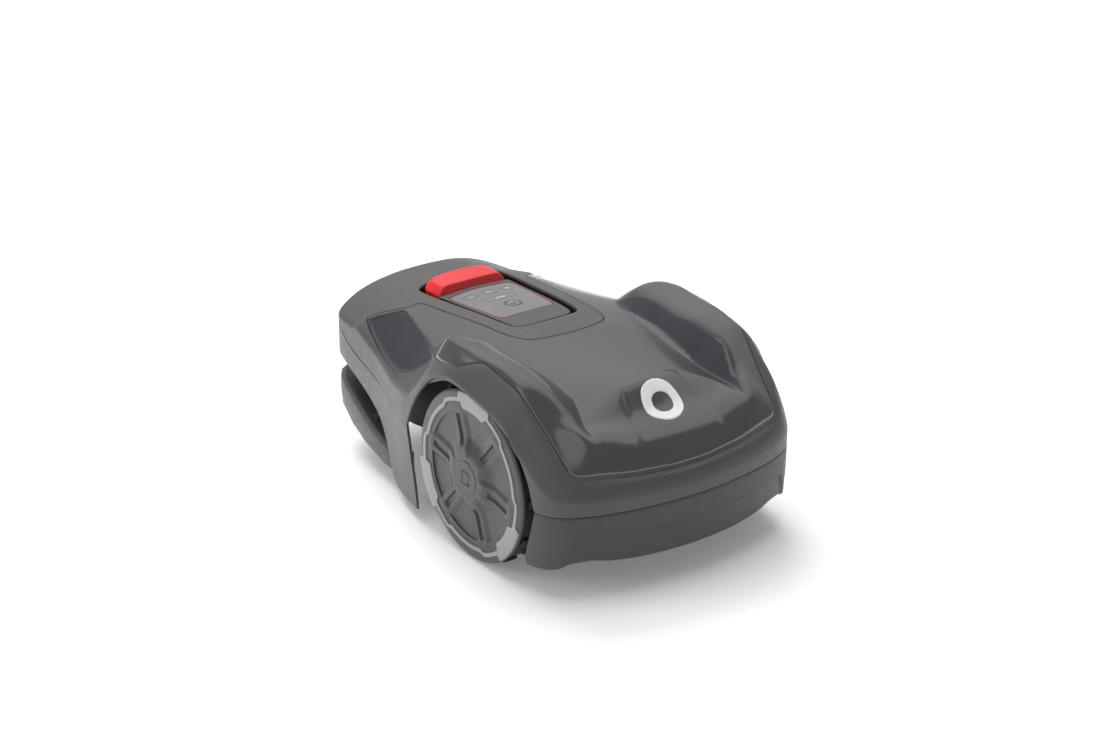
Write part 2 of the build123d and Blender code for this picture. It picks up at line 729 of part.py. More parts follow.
def make_hub_cap(sign):
    """Domed cap with six radial slots."""
    with BuildPart() as cap:
        add(ring_part(sign, 183, 185, 86, 0.001))
        with BuildSketch(Plane.YZ.offset(sign * 185)):
            with Locations((WHEEL_Y, AXLE_Z)):
                Circle(66)
        extrude(amount=sign * 6, taper=80)
        with BuildSketch(Plane.YZ.offset(sign * 184)):
            with Locations((WHEEL_Y, AXLE_Z)):
                with PolarLocations(58, 6, start_angle=30):
                    RectangleRounded(34, 9, 1.5)
        extrude(amount=sign * 10, mode=Mode.SUBTRACT)
    return cap.part


def make_axle(sign):
    with BuildPart() as axle:
        add(ring_part(sign, 97, 172, 6, 0.001))
    return axle.part


with BuildPart() as wheel_bearings:
    for _, sign in SIDES:
        add(ring_part(sign, 123, 130.8, 13, 6.05))
save(wheel_bearings.part, "wheel_bearings")

for side, sign in SIDES:
    save(make_gearbox(sign), f"gearbox_{side}")
    save(make_motor(sign), f"drive_motor_{side}")
    save(make_pinion(sign), f"drive_pinion_{side}")
    save(make_drive_gear(sign), f"drive_gear_{side}")
    save(make_axle(sign), f"wheel_axle_{side}")
    save(make_tyre(sign), f"tyre_{side}")
    save(make_rim(sign), f"wheel_rim_{side}")
    save(make_wheel_ring(sign), f"wheel_ring_{side}")
    save(make_hub_cap(sign), f"hub_cap_{side}")


# ---------------------------------------------------------------- cutting unit
def upright(low, high, outer_r, inner_r=0.0):
    """A round tube or rod on the cutting disc axis."""
    with BuildPart() as tube:
        with BuildSketch(Plane.XY.offset(low)):
            with Locations((0, CUTTER_Y)):
                Circle(outer_r)
                if inner_r:
                    Circle(inner_r, mode=Mode.SUBTRACT)
        extrude(amount=high - low)
    return tube.part


save(upright(FLOOR_Z + WALL, RIM_Z - 2, TOWER_R, TOWER_R - 4), "cutter_tower")

with BuildPart() as cutter_carriage:
    add(upright(52, 108, TOWER_R - 4.3, 30))
    add(upright(52, 57, TOWER_R - 4.3, 13))
    add(upright(104, 108, TOWER_R - 4.3, 5.3))
    add(upright(104, 146, 9, 5.3))
save(cutter_carriage.part, "cutter_carriage")

with BuildPart() as cutting_motor:
    add(upright(57.1, 100, 29.8, 4.05))
save(cutting_motor.part, "cutting_motor")

with BuildPart() as cutting_disc:
    add(upright(DISC_Z, DISC_Z + 2.5, DISC_R))
    add(upright(DISC_Z + 2.5, 49, 12))
    add(upright(17.6, 96, 4))
    with Locations((0, CUTTER_Y, DISC_Z)):
        with PolarLocations(48, 6, start_angle=30):
            Cylinder(12, 20, mode=Mode.SUBTRACT)
        with PolarLocations(BLADE_PIVOT_R, 3, start_angle=-90):
            Cylinder(3, 20, mode=Mode.SUBTRACT)
    with Locations((0, CUTTER_Y, 22)):
        Cylinder(2, 12, mode=Mode.SUBTRACT)
save(cutting_disc.part, "cutting_disc")

for k in range(3):
    angle = -90 + 120 * k
    with BuildPart() as blade:
        with BuildSketch(Plane.XY.offset(DISC_Z - 1.4)):
            with Locations((0, CUTTER_Y)):
                with PolarLocations(BLADE_PIVOT_R + 12, 1, start_angle=angle):
                    Rectangle(38, 18)
                with PolarLocations(BLADE_PIVOT_R, 1, start_angle=angle):
                    Circle(3, mode=Mode.SUBTRACT)
        extrude(amount=1)
        chamfer(blade.edges().filter_by(Axis.Z).filter_by(lambda e: e.length < 1.1), 3)
    save(blade.part, f"blade_{k + 1}")

with BuildPart() as blade_screws:
    with Locations((0, CUTTER_Y, DISC_Z + 2.5)):
        with PolarLocations(BLADE_PIVOT_R, 3, start_angle=-90):
            Cylinder(2.95, 6, align=(Align.CENTER, Align.CENTER, Align.MAX))
    with Locations((0, CUTTER_Y, DISC_Z - 1.6)):
        with PolarLocations(BLADE_PIVOT_R, 3, start_angle=-90):
            Cylinder(5.5, 2.4, align=(Align.CENTER, Align.CENTER, Align.MAX))
save(blade_screws.part, "blade_screws")

with BuildPart() as skid_plate:
    add(upright(18, 20, 62, 4.06))
    add(upright(20, 23, 10, 4.06))
    chamfer(skid_plate.edges().filter_by(GeomType.CIRCLE).sort_by(SortBy.RADIUS)[-2:], 0.8)
save(skid_plate.part, "skid_plate")

with BuildPart() as disc_bolt:
    add(upright(14.6, 17.6, 7.5))
    add(upright(17.6, 27, 1.98))
save(disc_bolt.part, "disc_bolt")

with BuildPart() as height_dial:
    add(upright(LID_Z + 0.6, LID_Z + 10, 24))
    add(upright(136, LID_Z + 1, 5))
    with Locations((0, CUTTER_Y, LID_Z + 10)):
        with PolarLocations(24, 12):
            Cylinder(2.5, 30, mode=Mode.SUBTRACT)
    with Locations((0, CUTTER_Y + 12, LID_Z + 10)):
        Box(3, 16, 2, mode=Mode.SUBTRACT)
save(height_dial.part, "height_dial")

# ---------------------------------------------------------------- rear caster
CASTER_WHEEL_Y = CASTER_Y + CASTER_TRAIL
with BuildPart() as caster_fork:
    with BuildSketch(Plane.XY.offset(2 * CASTER_R + 2)):
        with Locations((0, CASTER_Y)):
            Circle(20)
    extrude(amount=4)
    with BuildSketch(Plane.XY.offset(2 * CASTER_R + 2)):
        with Locations((0, CASTER_Y)):
            Circle(8)
    extrude(amount=28)
    for sign in (-1, 1):
        with BuildSketch(Plane.YZ.offset(sign * 15)):
            with BuildLine():
                Polyline((CASTER_Y - 12, 2 * CASTER_R + 6), (CASTER_WHEEL_Y - 8, CASTER_R - 8),
                         (CASTER_WHEEL_Y + 8, CASTER_R - 8), (CASTER_Y + 14, 2 * CASTER_R + 6), close=True)
            make_face()
            with Locations((CASTER_WHEEL_Y, CASTER_R)):
                Circle(3, mode=Mode.SUBTRACT)
        extrude(amount=sign * 4)
save(caster_fork.part, "caster_fork")

with BuildPart() as caster_wheel:
    with BuildSketch(Plane.YZ.offset(-13)):
        with Locations((CASTER_WHEEL_Y, CASTER_R)):
            Circle(CASTER_R)
            Circle(3.05, mode=Mode.SUBTRACT)
    extrude(amount=26)
    fillet(caster_wheel.edges().filter_by(GeomType.CIRCLE).sort_by(SortBy.RADIUS)[-2:], 5)
save(caster_wheel.part, "caster_wheel")

with BuildPart() as caster_axle:
    with BuildSketch(Plane.YZ.offset(-19.5)):
        with Locations((CASTER_WHEEL_Y, CASTER_R)):
            Circle(2.98)
    extrude(amount=39)
save(caster_axle.part, "caster_axle")
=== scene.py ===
from math import cos, pi, radians, sin

import bmesh
import bpy
import numpy as np
from mathutils import Matrix, Vector
from mathutils.geometry import delaunay_2d_cdt


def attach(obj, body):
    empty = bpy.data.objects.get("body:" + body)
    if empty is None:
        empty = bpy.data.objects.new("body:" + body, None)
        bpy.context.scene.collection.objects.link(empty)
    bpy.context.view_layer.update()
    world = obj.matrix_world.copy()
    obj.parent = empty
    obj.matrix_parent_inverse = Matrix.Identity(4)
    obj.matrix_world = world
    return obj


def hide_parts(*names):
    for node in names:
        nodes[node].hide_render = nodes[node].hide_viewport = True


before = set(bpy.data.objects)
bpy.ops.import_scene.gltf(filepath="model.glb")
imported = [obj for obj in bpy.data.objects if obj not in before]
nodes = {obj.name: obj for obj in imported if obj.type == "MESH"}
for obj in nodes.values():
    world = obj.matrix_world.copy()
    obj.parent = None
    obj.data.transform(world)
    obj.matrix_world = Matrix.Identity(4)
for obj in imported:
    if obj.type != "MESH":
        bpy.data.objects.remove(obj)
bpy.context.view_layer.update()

# Drawn in millimetres from the same datum as the CAD source; MIDDLE_Y is the shift to the row frame.
MIDDLE_Y = 19.5
WHEEL_Y = -83.0
AXLE_Z = 106.0
BAR_UNDERSIDE = 206.2
SHEET = 2.6
LEAST_GAP = 1.1


# ---------------------------------------------------------------- form of the body, in millimetres
def curve(*knots):
    """Monotone cubic through (position, value) knots, held flat outside them."""
    xs = np.array([k[0] for k in knots], float)
    ys = np.array([k[1] for k in knots], float)
    h = np.diff(xs)
    s = np.diff(ys) / h
    m = np.zeros_like(ys)
    m[0], m[-1] = s[0], s[-1]
    for i in range(1, len(xs) - 1):
        m[i] = 0 if s[i - 1] * s[i] <= 0 else 2 * s[i - 1] * s[i] / (s[i - 1] + s[i])

    def value(x):
        x = np.clip(np.asarray(x, float), xs[0], xs[-1])
        i = np.clip(np.searchsorted(xs, x) - 1, 0, len(h) - 1)
        t = (x - xs[i]) / h[i]
        ends = (1 + 2 * t) * (1 - t) ** 2 * ys[i] + t * t * (3 - 2 * t) * ys[i + 1]
        return ends + t * (1 - t) * h[i] * ((1 - t) * m[i] - t * m[i + 1])

    return value


def blend_min(a, b, k):
    return (a + b - np.sqrt((a - b) ** 2 + k * k)) / 2


def blend_max(a, b, k):
    return (a + b + np.sqrt((a - b) ** 2 + k * k)) / 2


def smooth(t):
    t = np.clip(t, 0, 1)
    return t * t * (3 - 2 * t)


half_width = curve((-280, 186), (-200, 190), (-80, 191), (10, 190), (60, 183), (110, 170),
                   (175, 152), (243, 142), (300, 134))
centre_height = curve((-290, 214), (-187, 216), (-130, 221.5), (-80, 224.5), (-30, 226.5),
                      (40, 226.5), (150, 222), (230, 217), (310, 212))
crown = curve((-240, 30), (-178, 27), (-145, 24), (-107, 19), (-80, 15), (-53, 12), (-9, 11), (60, 13),
              (120, 15), (200, 17), (250, 24), (310, 26))
ridge_height = curve((-290, 192), (-200, 207), (-180, 219), (-165, 228.5), (-140, 239), (-100, 246.5),
                     (-60, 247.5), (-35, 249), (-15, 247.5), (10, 241), (32, 230), (50, 217),
                     (80, 190), (120, 150))
ridge_x = curve((-260, 141), (-200, 143), (-140, 147), (-35, 150), (40, 152), (80, 153))
wall_x = curve((-190, 126), (-172, 125), (-152, 120), (-112, 116.5), (-80, 115), (-20, 118), (35, 114))
ridge_fall = curve((0, 0), (8, 1.8), (16, 6.8), (33, 15.5), (42, 25), (60, 60))
nose_slope = curve((0, 0.63), (50, 0.70), (95, 0.84), (130, 0.98), (190, 1.0))
shoulder = curve((-272, 137), (-232, 140), (-190, 171), (-172, 184), (-150, 204), (-100, 216),
                 (-50, 226), (0, 208), (48, 166), (90, 160), (110, 161), (200, 174), (260, 192),
                 (300, 198))
lean = curve((-272, 3), (-190, 2.2), (-150, 1.4), (-50, 1), (0, 1.3), (48, 1.1), (110, 1),
             (200, 0.77), (300, 0.7))
tail = curve((-20, 150), (4, 194), (9, 202), (16, 209), (30, 217), (60, 240), (120, 400))
split_height = curve((-290, 107), (-200, 107), (54, 121), (110, 126), (175, 132), (243, 143),
                     (270, 153), (285, 164), (310, 170))


def side_distance(x, y):
    return blend_min(half_width(y) - x, y + 275 - 12 * (x / 110) ** 2, 38)


def rear_distance(x, y):
    return 310 - 5 * (x / 95) ** 2 - y


def edge_distance(x, y):
    x = np.abs(x)
    return blend_min(side_distance(x, y), rear_distance(x, y), 14)


nose_lip = curve((0, 0), (6, 3.8), (12, 6.8), (17, 8.3), (22, 8.6), (30, 7.8), (56, 0), (70, 0))


def badge_pad(x, y):
    """Raised pad under the badge, wider towards the bumper."""
    half = 42 - 0.25 * (y + 174)
    return 2.6 * smooth((half - np.abs(x)) / 4) * smooth((y + 252) / 12) * smooth((-167 - y) / 10)


def surfaces(x, y):
    """Heights of the hood, fender roof, inner fender wall and nose that make up the skin, for x >= 0."""
    hood = centre_height(y) - crown(y) * (x / 105) ** 2
    out = x - ridge_x(y)
    roof = ridge_height(y) - np.where(out < 0, 0.010 * out * out, ridge_fall(out))
    wall = ridge_height(y) - 0.010 * (ridge_x(y) - wall_x(y)) ** 2 - 0.85 * (wall_x(y) - x)
    ahead = np.maximum(y + 260 - 12 * (x / 94) ** 2, -30)
    bow = 0.0033 * np.maximum(0, 1 - x / 95)
    nose = 147 + 8 * (x / 150) ** 2 + nose_slope(x) * ahead + bow * ahead * np.abs(ahead)
    nose = nose + nose_lip(ahead) * (1 + 0.5 * smooth((x - 40) / 60)) * smooth((150 - x) / 35)
    return hood, roof, wall, nose


def skin(x, y):
    """Height of the outer skin."""
    x = np.abs(x)
    hood, roof, wall, nose = surfaces(x, y)
    top = blend_max(hood, blend_min(roof, wall, 5), 5)
    flank = shoulder(y) + lean(y) * (np.maximum(side_distance(x, y), -9) - 4)
    sheet = blend_min(blend_min(top, nose, 5) + badge_pad(x, y), flank, 2.5)
    return blend_min(sheet, tail(rear_distance(x, y)), 4)


# ---------------------------------------------------------------- plan curves
def resample(points, step, closed=True):
    points = np.asarray(points, float)
    if closed:
        points = np.vstack([points, points[:1]])
    length = np.concatenate([[0], np.cumsum(np.linalg.norm(np.diff(points, axis=0), axis=1))])
    count = max(int(round(length[-1] / step)), 3)
    at = np.linspace(0, length[-1], count + 1)
    if closed:
        at = at[:-1]
    return np.stack([np.interp(at, length, points[:, i]) for i in (0, 1)], 1)


def rounded(points, corners=(), closed=True):
    """Corner cutting that smooths a polyline but keeps the marked corners sharp."""
    points = [np.array(p, float) for p in points]
    sharp = [i in corners for i in range(len(points))]
    for _ in range(3):
        new, keep = [], []
        n = len(points)
        for i in range(n):
            if not closed and i in (0, n - 1) or sharp[i]:
                new.append(points[i])
                keep.append(True)
                continue
            before, after = points[i - 1], points[(i + 1) % n]
            new += [points[i] * 0.75 + before * 0.25, points[i] * 0.75 + after * 0.25]
            keep += [False, False]
        points, sharp = new, keep
    return np.array(points)


def mirrored(half):
    """Closed loop from a half outline with x >= 0 that starts and ends on x = 0."""
    half = np.asarray(half, float)
    other = half[::-1] * [-1, 1]
    return np.vstack([half, other[1:-1]])


def body_outline(inset, step):
    """Plan outline where the skin is `inset` in from the edge."""
    angles = np.linspace(-pi / 2, pi / 2, 1201)
    near, far = np.zeros_like(angles), np.full_like(angles, 400.0)
    for _ in range(40):
        middle = (near + far) / 2
        inside = edge_distance(middle * np.cos(angles), 10 + middle * np.sin(angles)) > inset
        near, far = np.where(inside, middle, near), np.where(inside, far, middle)
    half = np.stack([near * np.cos(angles), 10 + near * np.sin(angles)], 1)
    half[0, 0] = half[-1, 0] = 0
    return resample(mirrored(half), step)


def shifted(loop, amount):
    """A closed loop moved to its left by `amount`."""
    ahead, behind = np.roll(loop, -1, 0), np.roll(loop, 1, 0)
    along = ahead - behind
    along /= np.maximum(np.linalg.norm(along, axis=1, keepdims=True), 1e-9)
    return loop + amount * np.stack([-along[:, 1], along[:, 0]], 1)


def inside_loop(points, loop):
    x, y = points[:, 0][:, None], points[:, 1][:, None]
    x1, y1 = loop[:, 0], loop[:, 1]
    x2, y2 = np.roll(x1, -1), np.roll(y1, -1)
    crosses = (y1 > y) != (y2 > y)
    with np.errstate(divide="ignore", invalid="ignore"):
        at = (x2 - x1) * (y - y1) / (y2 - y1) + x1
    return (crosses & (x < at)).sum(1) % 2 == 1


def loop_distance(points, loop):
    """Distance from each point to a densely sampled loop."""
    best = np.full(len(points), 1e9)
    ends = np.roll(loop, -1, 0)
    for a, b in zip(loop, ends):
        d = b - a
        t = np.clip(((points - a) @ d) / max(d @ d, 1e-12), 0, 1)
        best = np.minimum(best, np.linalg.norm(points - a - t[:, None] * d, axis=1))
    return best


def clear_of(points, fixed):
    """The points that are at least `LEAST_GAP` away from every fixed point."""
    cells = {}
    for p in fixed:
        cells.setdefault((int(p[0] // 2), int(p[1] // 2)), []).append(p)
    near = [any(np.hypot(*(q - p)) < LEAST_GAP for i in (-1, 0, 1) for j in (-1, 0, 1)
                for q in cells.get((int(p[0] // 2) + i, int(p[1] // 2) + j), ())) for p in points]
    return points[~np.array(near)]


def triangulate(loops, extra, outer, holes=(), lines=()):
    """Constrained triangulation of the plan inside `outer` and outside `holes`."""
    points, edges = [], []
    # `lines` are open polylines; every loop is closed
    for line in lines:
        start = len(points)
        points += [tuple(p) for p in line]
        edges += [(start + i, start + i + 1) for i in range(len(line) - 1)]
    for loop in loops:
        start = len(points)
        points += [tuple(p) for p in loop]
        edges += [(start + i, start + (i + 1) % len(loop)) for i in range(len(loop))]
    points += [tuple(p) for p in extra]
    verts, _, faces, _, _, _ = delaunay_2d_cdt([Vector(p) for p in points], edges, [], 0, 1e-4)
    verts = np.array([v[:] for v in verts])
    faces = np.array([f[:] for f in faces])
    middle = verts[faces].mean(1)
    keep = inside_loop(middle, outer)
    for hole in holes:
        keep &= ~inside_loop(middle, hole)
    return verts, faces[keep]


def grid(step, x0, x1, y0, y1):
    xs, ys = np.arange(x0, x1, step), np.arange(y0, y1, step * 0.87)
    gx, gy = np.meshgrid(xs, ys)
    gx = gx + (np.arange(len(ys)) % 2)[:, None] * step / 2
    return np.stack([gx.ravel(), gy.ravel()], 1)


# ---------------------------------------------------------------- mesh helpers
def make(name, verts, faces, body, material, replaces=(), zones=None, smooth_angle=35):
    """A mesh piece from millimetre coordinates, smooth shaded, riding on a CAD body."""
    verts = (np.asarray(verts, float) - [0, MIDDLE_Y, 0]) / 1000
    mesh = bpy.data.meshes.new(name)
    mesh.from_pydata([tuple(v) for v in verts], [], [tuple(int(i) for i in f) for f in faces])
    mesh.validate()
    obj = bpy.data.objects.new(name, mesh)
    bpy.context.scene.collection.objects.link(obj)
    for m in material if isinstance(material, (list, tuple)) else [material]:
        mesh.materials.append(m)
    if zones is not None:
        mesh.polygons.foreach_set("material_index", np.asarray(zones, np.int32))
    bm = bmesh.new()
    bm.from_mesh(mesh)
    bmesh.ops.recalc_face_normals(bm, faces=bm.faces)
    bm.to_mesh(mesh)
    bm.free()
    mesh.shade_smooth()
    mesh.set_sharp_from_angle(angle=radians(smooth_angle))
    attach(obj, body)
    if replaces:
        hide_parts(*replaces)


def boundary_loops(faces):
    """Directed boundary edges of a triangle list, chained into vertex loops."""
    edges = {}
    for f in faces:
        n = len(f)
        for i in range(n):
            edges[(f[i], f[(i + 1) % n])] = True
    follow = {a: b for a, b in edges if (b, a) not in edges}
    loops = []
    while follow:
        start = next(iter(follow))
        loop, at = [], start
        while at in follow:
            loop.append(at)
            at = follow.pop(at)
        loops.append(loop)
    return loops


def closed_sheet(top, low, faces):
    """Upper and lower sheet with the same faces, joined by walls along every boundary loop."""
    n = len(top)
    all_faces = [tuple(f) for f in faces] + [tuple(i + n for i in f[::-1]) for f in faces]
    for loop in boundary_loops(faces):
        m = len(loop)
        all_faces += [(loop[i], loop[(i + 1) % m], loop[(i + 1) % m] + n, loop[i] + n) for i in range(m)]
    return np.vstack([top, low]), all_faces


def sweep_rows(rows, closed_rows=True, closed_columns=False):
    """Quads between successive rows of equal length; returns verts and faces."""
    rows = [np.asarray(r, float) for r in rows]
    n = len(rows[0])
    verts = np.vstack(rows)
    faces = []
    count = len(rows) if closed_columns else len(rows) - 1
    for r in range(count):
        a, b = r * n, ((r + 1) % len(rows)) * n
        for i in range(n if closed_rows else n - 1):
            j = (i + 1) % n
            faces.append((a + i, a + j, b + j, b + i))
    return verts, faces


# ---------------------------------------------------------------- materials
def set_input(node, name, value):
    if name in node.inputs:
        node.inputs[name].default_value = value


def material(name, color, rough, metal=0.0, speck=0.0, bump=0.0, scale=600.0, vary=0.05, coat=0.0,
             coat_rough=0.05, rough_vary=0.05, ior=1.5):
    """Principled surface with procedural colour, roughness and bump, all in object space."""
    mat = bpy.data.materials.new(name)
    mat.use_nodes = True
    tree = mat.node_tree
    shader = tree.nodes["Principled BSDF"]
    link = tree.links.new
    place = tree.nodes.new("ShaderNodeTexCoord").outputs["Object"]

    def noise(size, detail=3.0):
        node = tree.nodes.new("ShaderNodeTexNoise")
        node.inputs["Scale"].default_value = size
        node.inputs["Detail"].default_value = detail
        link(place, node.inputs["Vector"])
        return node.outputs["Fac"]

    def remap(source, low, high):
        node = tree.nodes.new("ShaderNodeMapRange")
        node.inputs["From Min"].default_value = 0.3
        node.inputs["From Max"].default_value = 0.7
        node.inputs["To Min"].default_value = low
        node.inputs["To Max"].default_value = high
        link(source, node.inputs["Value"])
        return node.outputs["Result"]

    broad = noise(14.0)
    fine = noise(scale, 2.0)
    tint = tree.nodes.new("ShaderNodeMix")
    tint.data_type = "RGBA"
    tint.inputs["A"].default_value = (*[c * (1 - vary) for c in color], 1)
    tint.inputs["B"].default_value = (*[min(c * (1 + vary), 1) for c in color], 1)
    link(remap(broad, 0, 1), tint.inputs["Factor"])
    result = tint.outputs["Result"]
    if speck:
        spots = tree.nodes.new("ShaderNodeMix")
        spots.data_type = "RGBA"
        spots.inputs["B"].default_value = (*[min(c * (1 + 6 * speck) + 0.02 * speck, 1) for c in color], 1)
        link(remap(fine, 0, speck), spots.inputs["Factor"])
        link(result, spots.inputs["A"])
        result = spots.outputs["Result"]
    link(result, shader.inputs["Base Color"])
    link(remap(noise(90.0), rough - rough_vary, rough + rough_vary), shader.inputs["Roughness"])
    set_input(shader, "Metallic", metal)
    set_input(shader, "IOR", ior)
    set_input(shader, "Coat Weight", coat)
    set_input(shader, "Coat Roughness", coat_rough)
    if bump:
        node = tree.nodes.new("ShaderNodeBump")
        node.inputs["Strength"].default_value = bump
        node.inputs["Distance"].default_value = 0.0004
        link(fine, node.inputs["Height"])
        link(node.outputs["Normal"], shader.inputs["Normal"])
    return mat


shell_grey = material("shell_grey", (0.072, 0.072, 0.073), 0.42, speck=0.12, bump=0.22, scale=1400)
# the shell plastic painted lighter for the rear skirt: painted light from the side lamp
skirt_lit_grey = material("skirt_lit_grey", (0.092, 0.092, 0.093), 0.42, speck=0.12, bump=0.25, scale=1400)
# the shell plastic painted darker for the front bumper: painted shade on the front faces
bumper_shaded_grey = material("bumper_shaded_grey", (0.052, 0.052, 0.053), 0.46, speck=0.12, bump=0.25, scale=1400)
cover_gloss = material("cover_gloss", (0.043, 0.044, 0.047), 0.20, ior=1.85, vary=0.03, rough_vary=0.02,
                       coat=0.3)
# darker, less reflective copy of the cover gloss: used for the dark rear facets, and as painted shade on the
# fender inner walls
rear_facet_and_wall_shade_gloss = material("rear_facet_and_wall_shade_gloss", (0.037, 0.039, 0.045), 0.30, ior=1.38, vary=0.04, rough_vary=0.02)
chassis_grey = material("chassis_grey", (0.075, 0.076, 0.079), 0.46, speck=0.1, bump=0.25, scale=1200)
stop_red = material("stop_red", (0.66, 0.025, 0.030), 0.36, coat=0.2, coat_rough=0.2, bump=0.08, scale=900)
chassis_dark = material("chassis_dark", (0.060, 0.062, 0.068), 0.50, speck=0.1, bump=0.25, scale=1200)
inner_black = material("inner_black", (0.020, 0.020, 0.022), 0.55, bump=0.2, scale=800)
lens_grey = material("lens_grey", (0.15, 0.15, 0.155), 0.22, coat=0.6, coat_rough=0.05, vary=0.05)
lens_dark = material("lens_dark", (0.055, 0.056, 0.060), 0.22, coat=0.6, coat_rough=0.05, vary=0.05)
orange_trim = material("orange_trim", (0.62, 0.075, 0.02), 0.35)
key_mark = material("key_mark", (0.50, 0.50, 0.51), 0.45)
tyre_black = material("tyre_black", (0.016, 0.016, 0.017), 0.62, bump=0.5, scale=700, speck=0.15)
ring_grey = material("ring_grey", (0.30, 0.30, 0.31), 0.40, bump=0.12, scale=900, speck=0.03)
hub_dark = material("hub_dark", (0.062, 0.062, 0.064), 0.36, speck=0.1, bump=0.18, scale=1100)
badge_white = material("badge_white", (0.86, 0.86, 0.85), 0.28, coat=0.4, vary=0.015, bump=0.03)
steel = material("steel", (0.50, 0.51, 0.52), 0.28, metal=1.0, bump=0.15, scale=500)
brass = material("brass", (0.66, 0.50, 0.22), 0.30, metal=1.0, bump=0.1, scale=500)
nylon = material("nylon", (0.70, 0.69, 0.64), 0.42, bump=0.1, scale=500)
board_green = material("board_green", (0.015, 0.13, 0.055), 0.35, vary=0.15, bump=0.3, scale=350)
battery_blue = material("battery_blue", (0.035, 0.06, 0.17), 0.35, vary=0.1, bump=0.1, scale=200)
rubber = material("rubber", (0.022, 0.022, 0.023), 0.66, bump=0.4, scale=650, speck=0.1)


# ---------------------------------------------------------------- seams on the body, right half or loop
cover_half = rounded(
    [(0, -260), (25, -259.5), (51, -256), (72, -253), (94, -248), (116, -241.5), (134, -236), (143, -232),
     (149, -226), (152, -207), (154, -189), (157, -172), (161, -150), (162, -127), (162, -103), (161, -82),
     (164, -74), (174, -60), (179, -50), (179.5, -38), (178, -20), (172, 4), (161, 26), (152, 38), (150, 43),
     (152, 51), (158, 68), (162, 84), (162.5, 98), (157, 130), (145, 175), (133, 216), (128, 226),
     (122, 225), (112, 210), (100, 192), (92, 184), (82, 181), (78, 176), (77, 160), (76, 140), (73, 100),
     (70, 61), (68, 24), (65, 4), (58, -15), (52, -22), (42, -27.5), (20, -33), (0, -35)],
    closed=False)
cover_half[0] = (0, -260)
cover_half[-1] = (0, -35)
window = rounded([(129, 222), (99, 183), (117, 125), (136, 70), (148.5, 46), (153, 58), (159, 80),
                  (160, 98), (155, 128), (143, 174), (131, 214)], corners=(0, 1, 4))
opening_half = rounded([(0, 12), (30, 14), (44, 19), (50, 32), (55, 100), (59.5, 170), (60, 204),
                        (57, 217), (46, 223), (0, 226)], closed=False)
opening_half[0] = (0, 12)
opening_half[-1] = (0, 226)

cover_loop = resample(mirrored(cover_half), 2.4)
opening_loop = resample(mirrored(opening_half), 2.4)
window_right = resample(window, 2.4)
window_left = (window_right * [-1, 1])[::-1]
SEAM = 0.35
FLANK_ROLL = 5.0
WALL = 3.2

arch = curve((-206, 105), (-203, 109), (-194, 140), (-177, 170), (-148, 192), (-109, 209), (-68, 213),
             (-42, 214), (-15, 206), (9, 185), (34, 155), (54, 121), (60, 110))


def rolled(distance, radius, depth):
    """Drop of a rounded edge, `depth` at the edge itself and none beyond `radius`."""
    t = np.clip(1 - distance / radius, 0, 1)
    return depth * (1 - np.sqrt(1 - t * t))


def plan_points(step_wide, step_fine, keep_clear, outer):
    """Filling points: a wide grid, a fine one on the fenders, none close to the given loops."""
    wide = grid(step_wide, -200, 200, -285, 315)
    fine = np.vstack([grid(step_fine, s * 130 - 32, s * 130 + 32, -215, 75) for s in (-1, 1)])
    in_fine = (np.abs(np.abs(wide[:, 0]) - 130) < 33) & (wide[:, 1] > -216) & (wide[:, 1] < 76)
    points = np.vstack([wide[~in_fine], fine])
    points = points[inside_loop(points, outer)]
    return points[loop_distance(points, keep_clear) > 1.3]


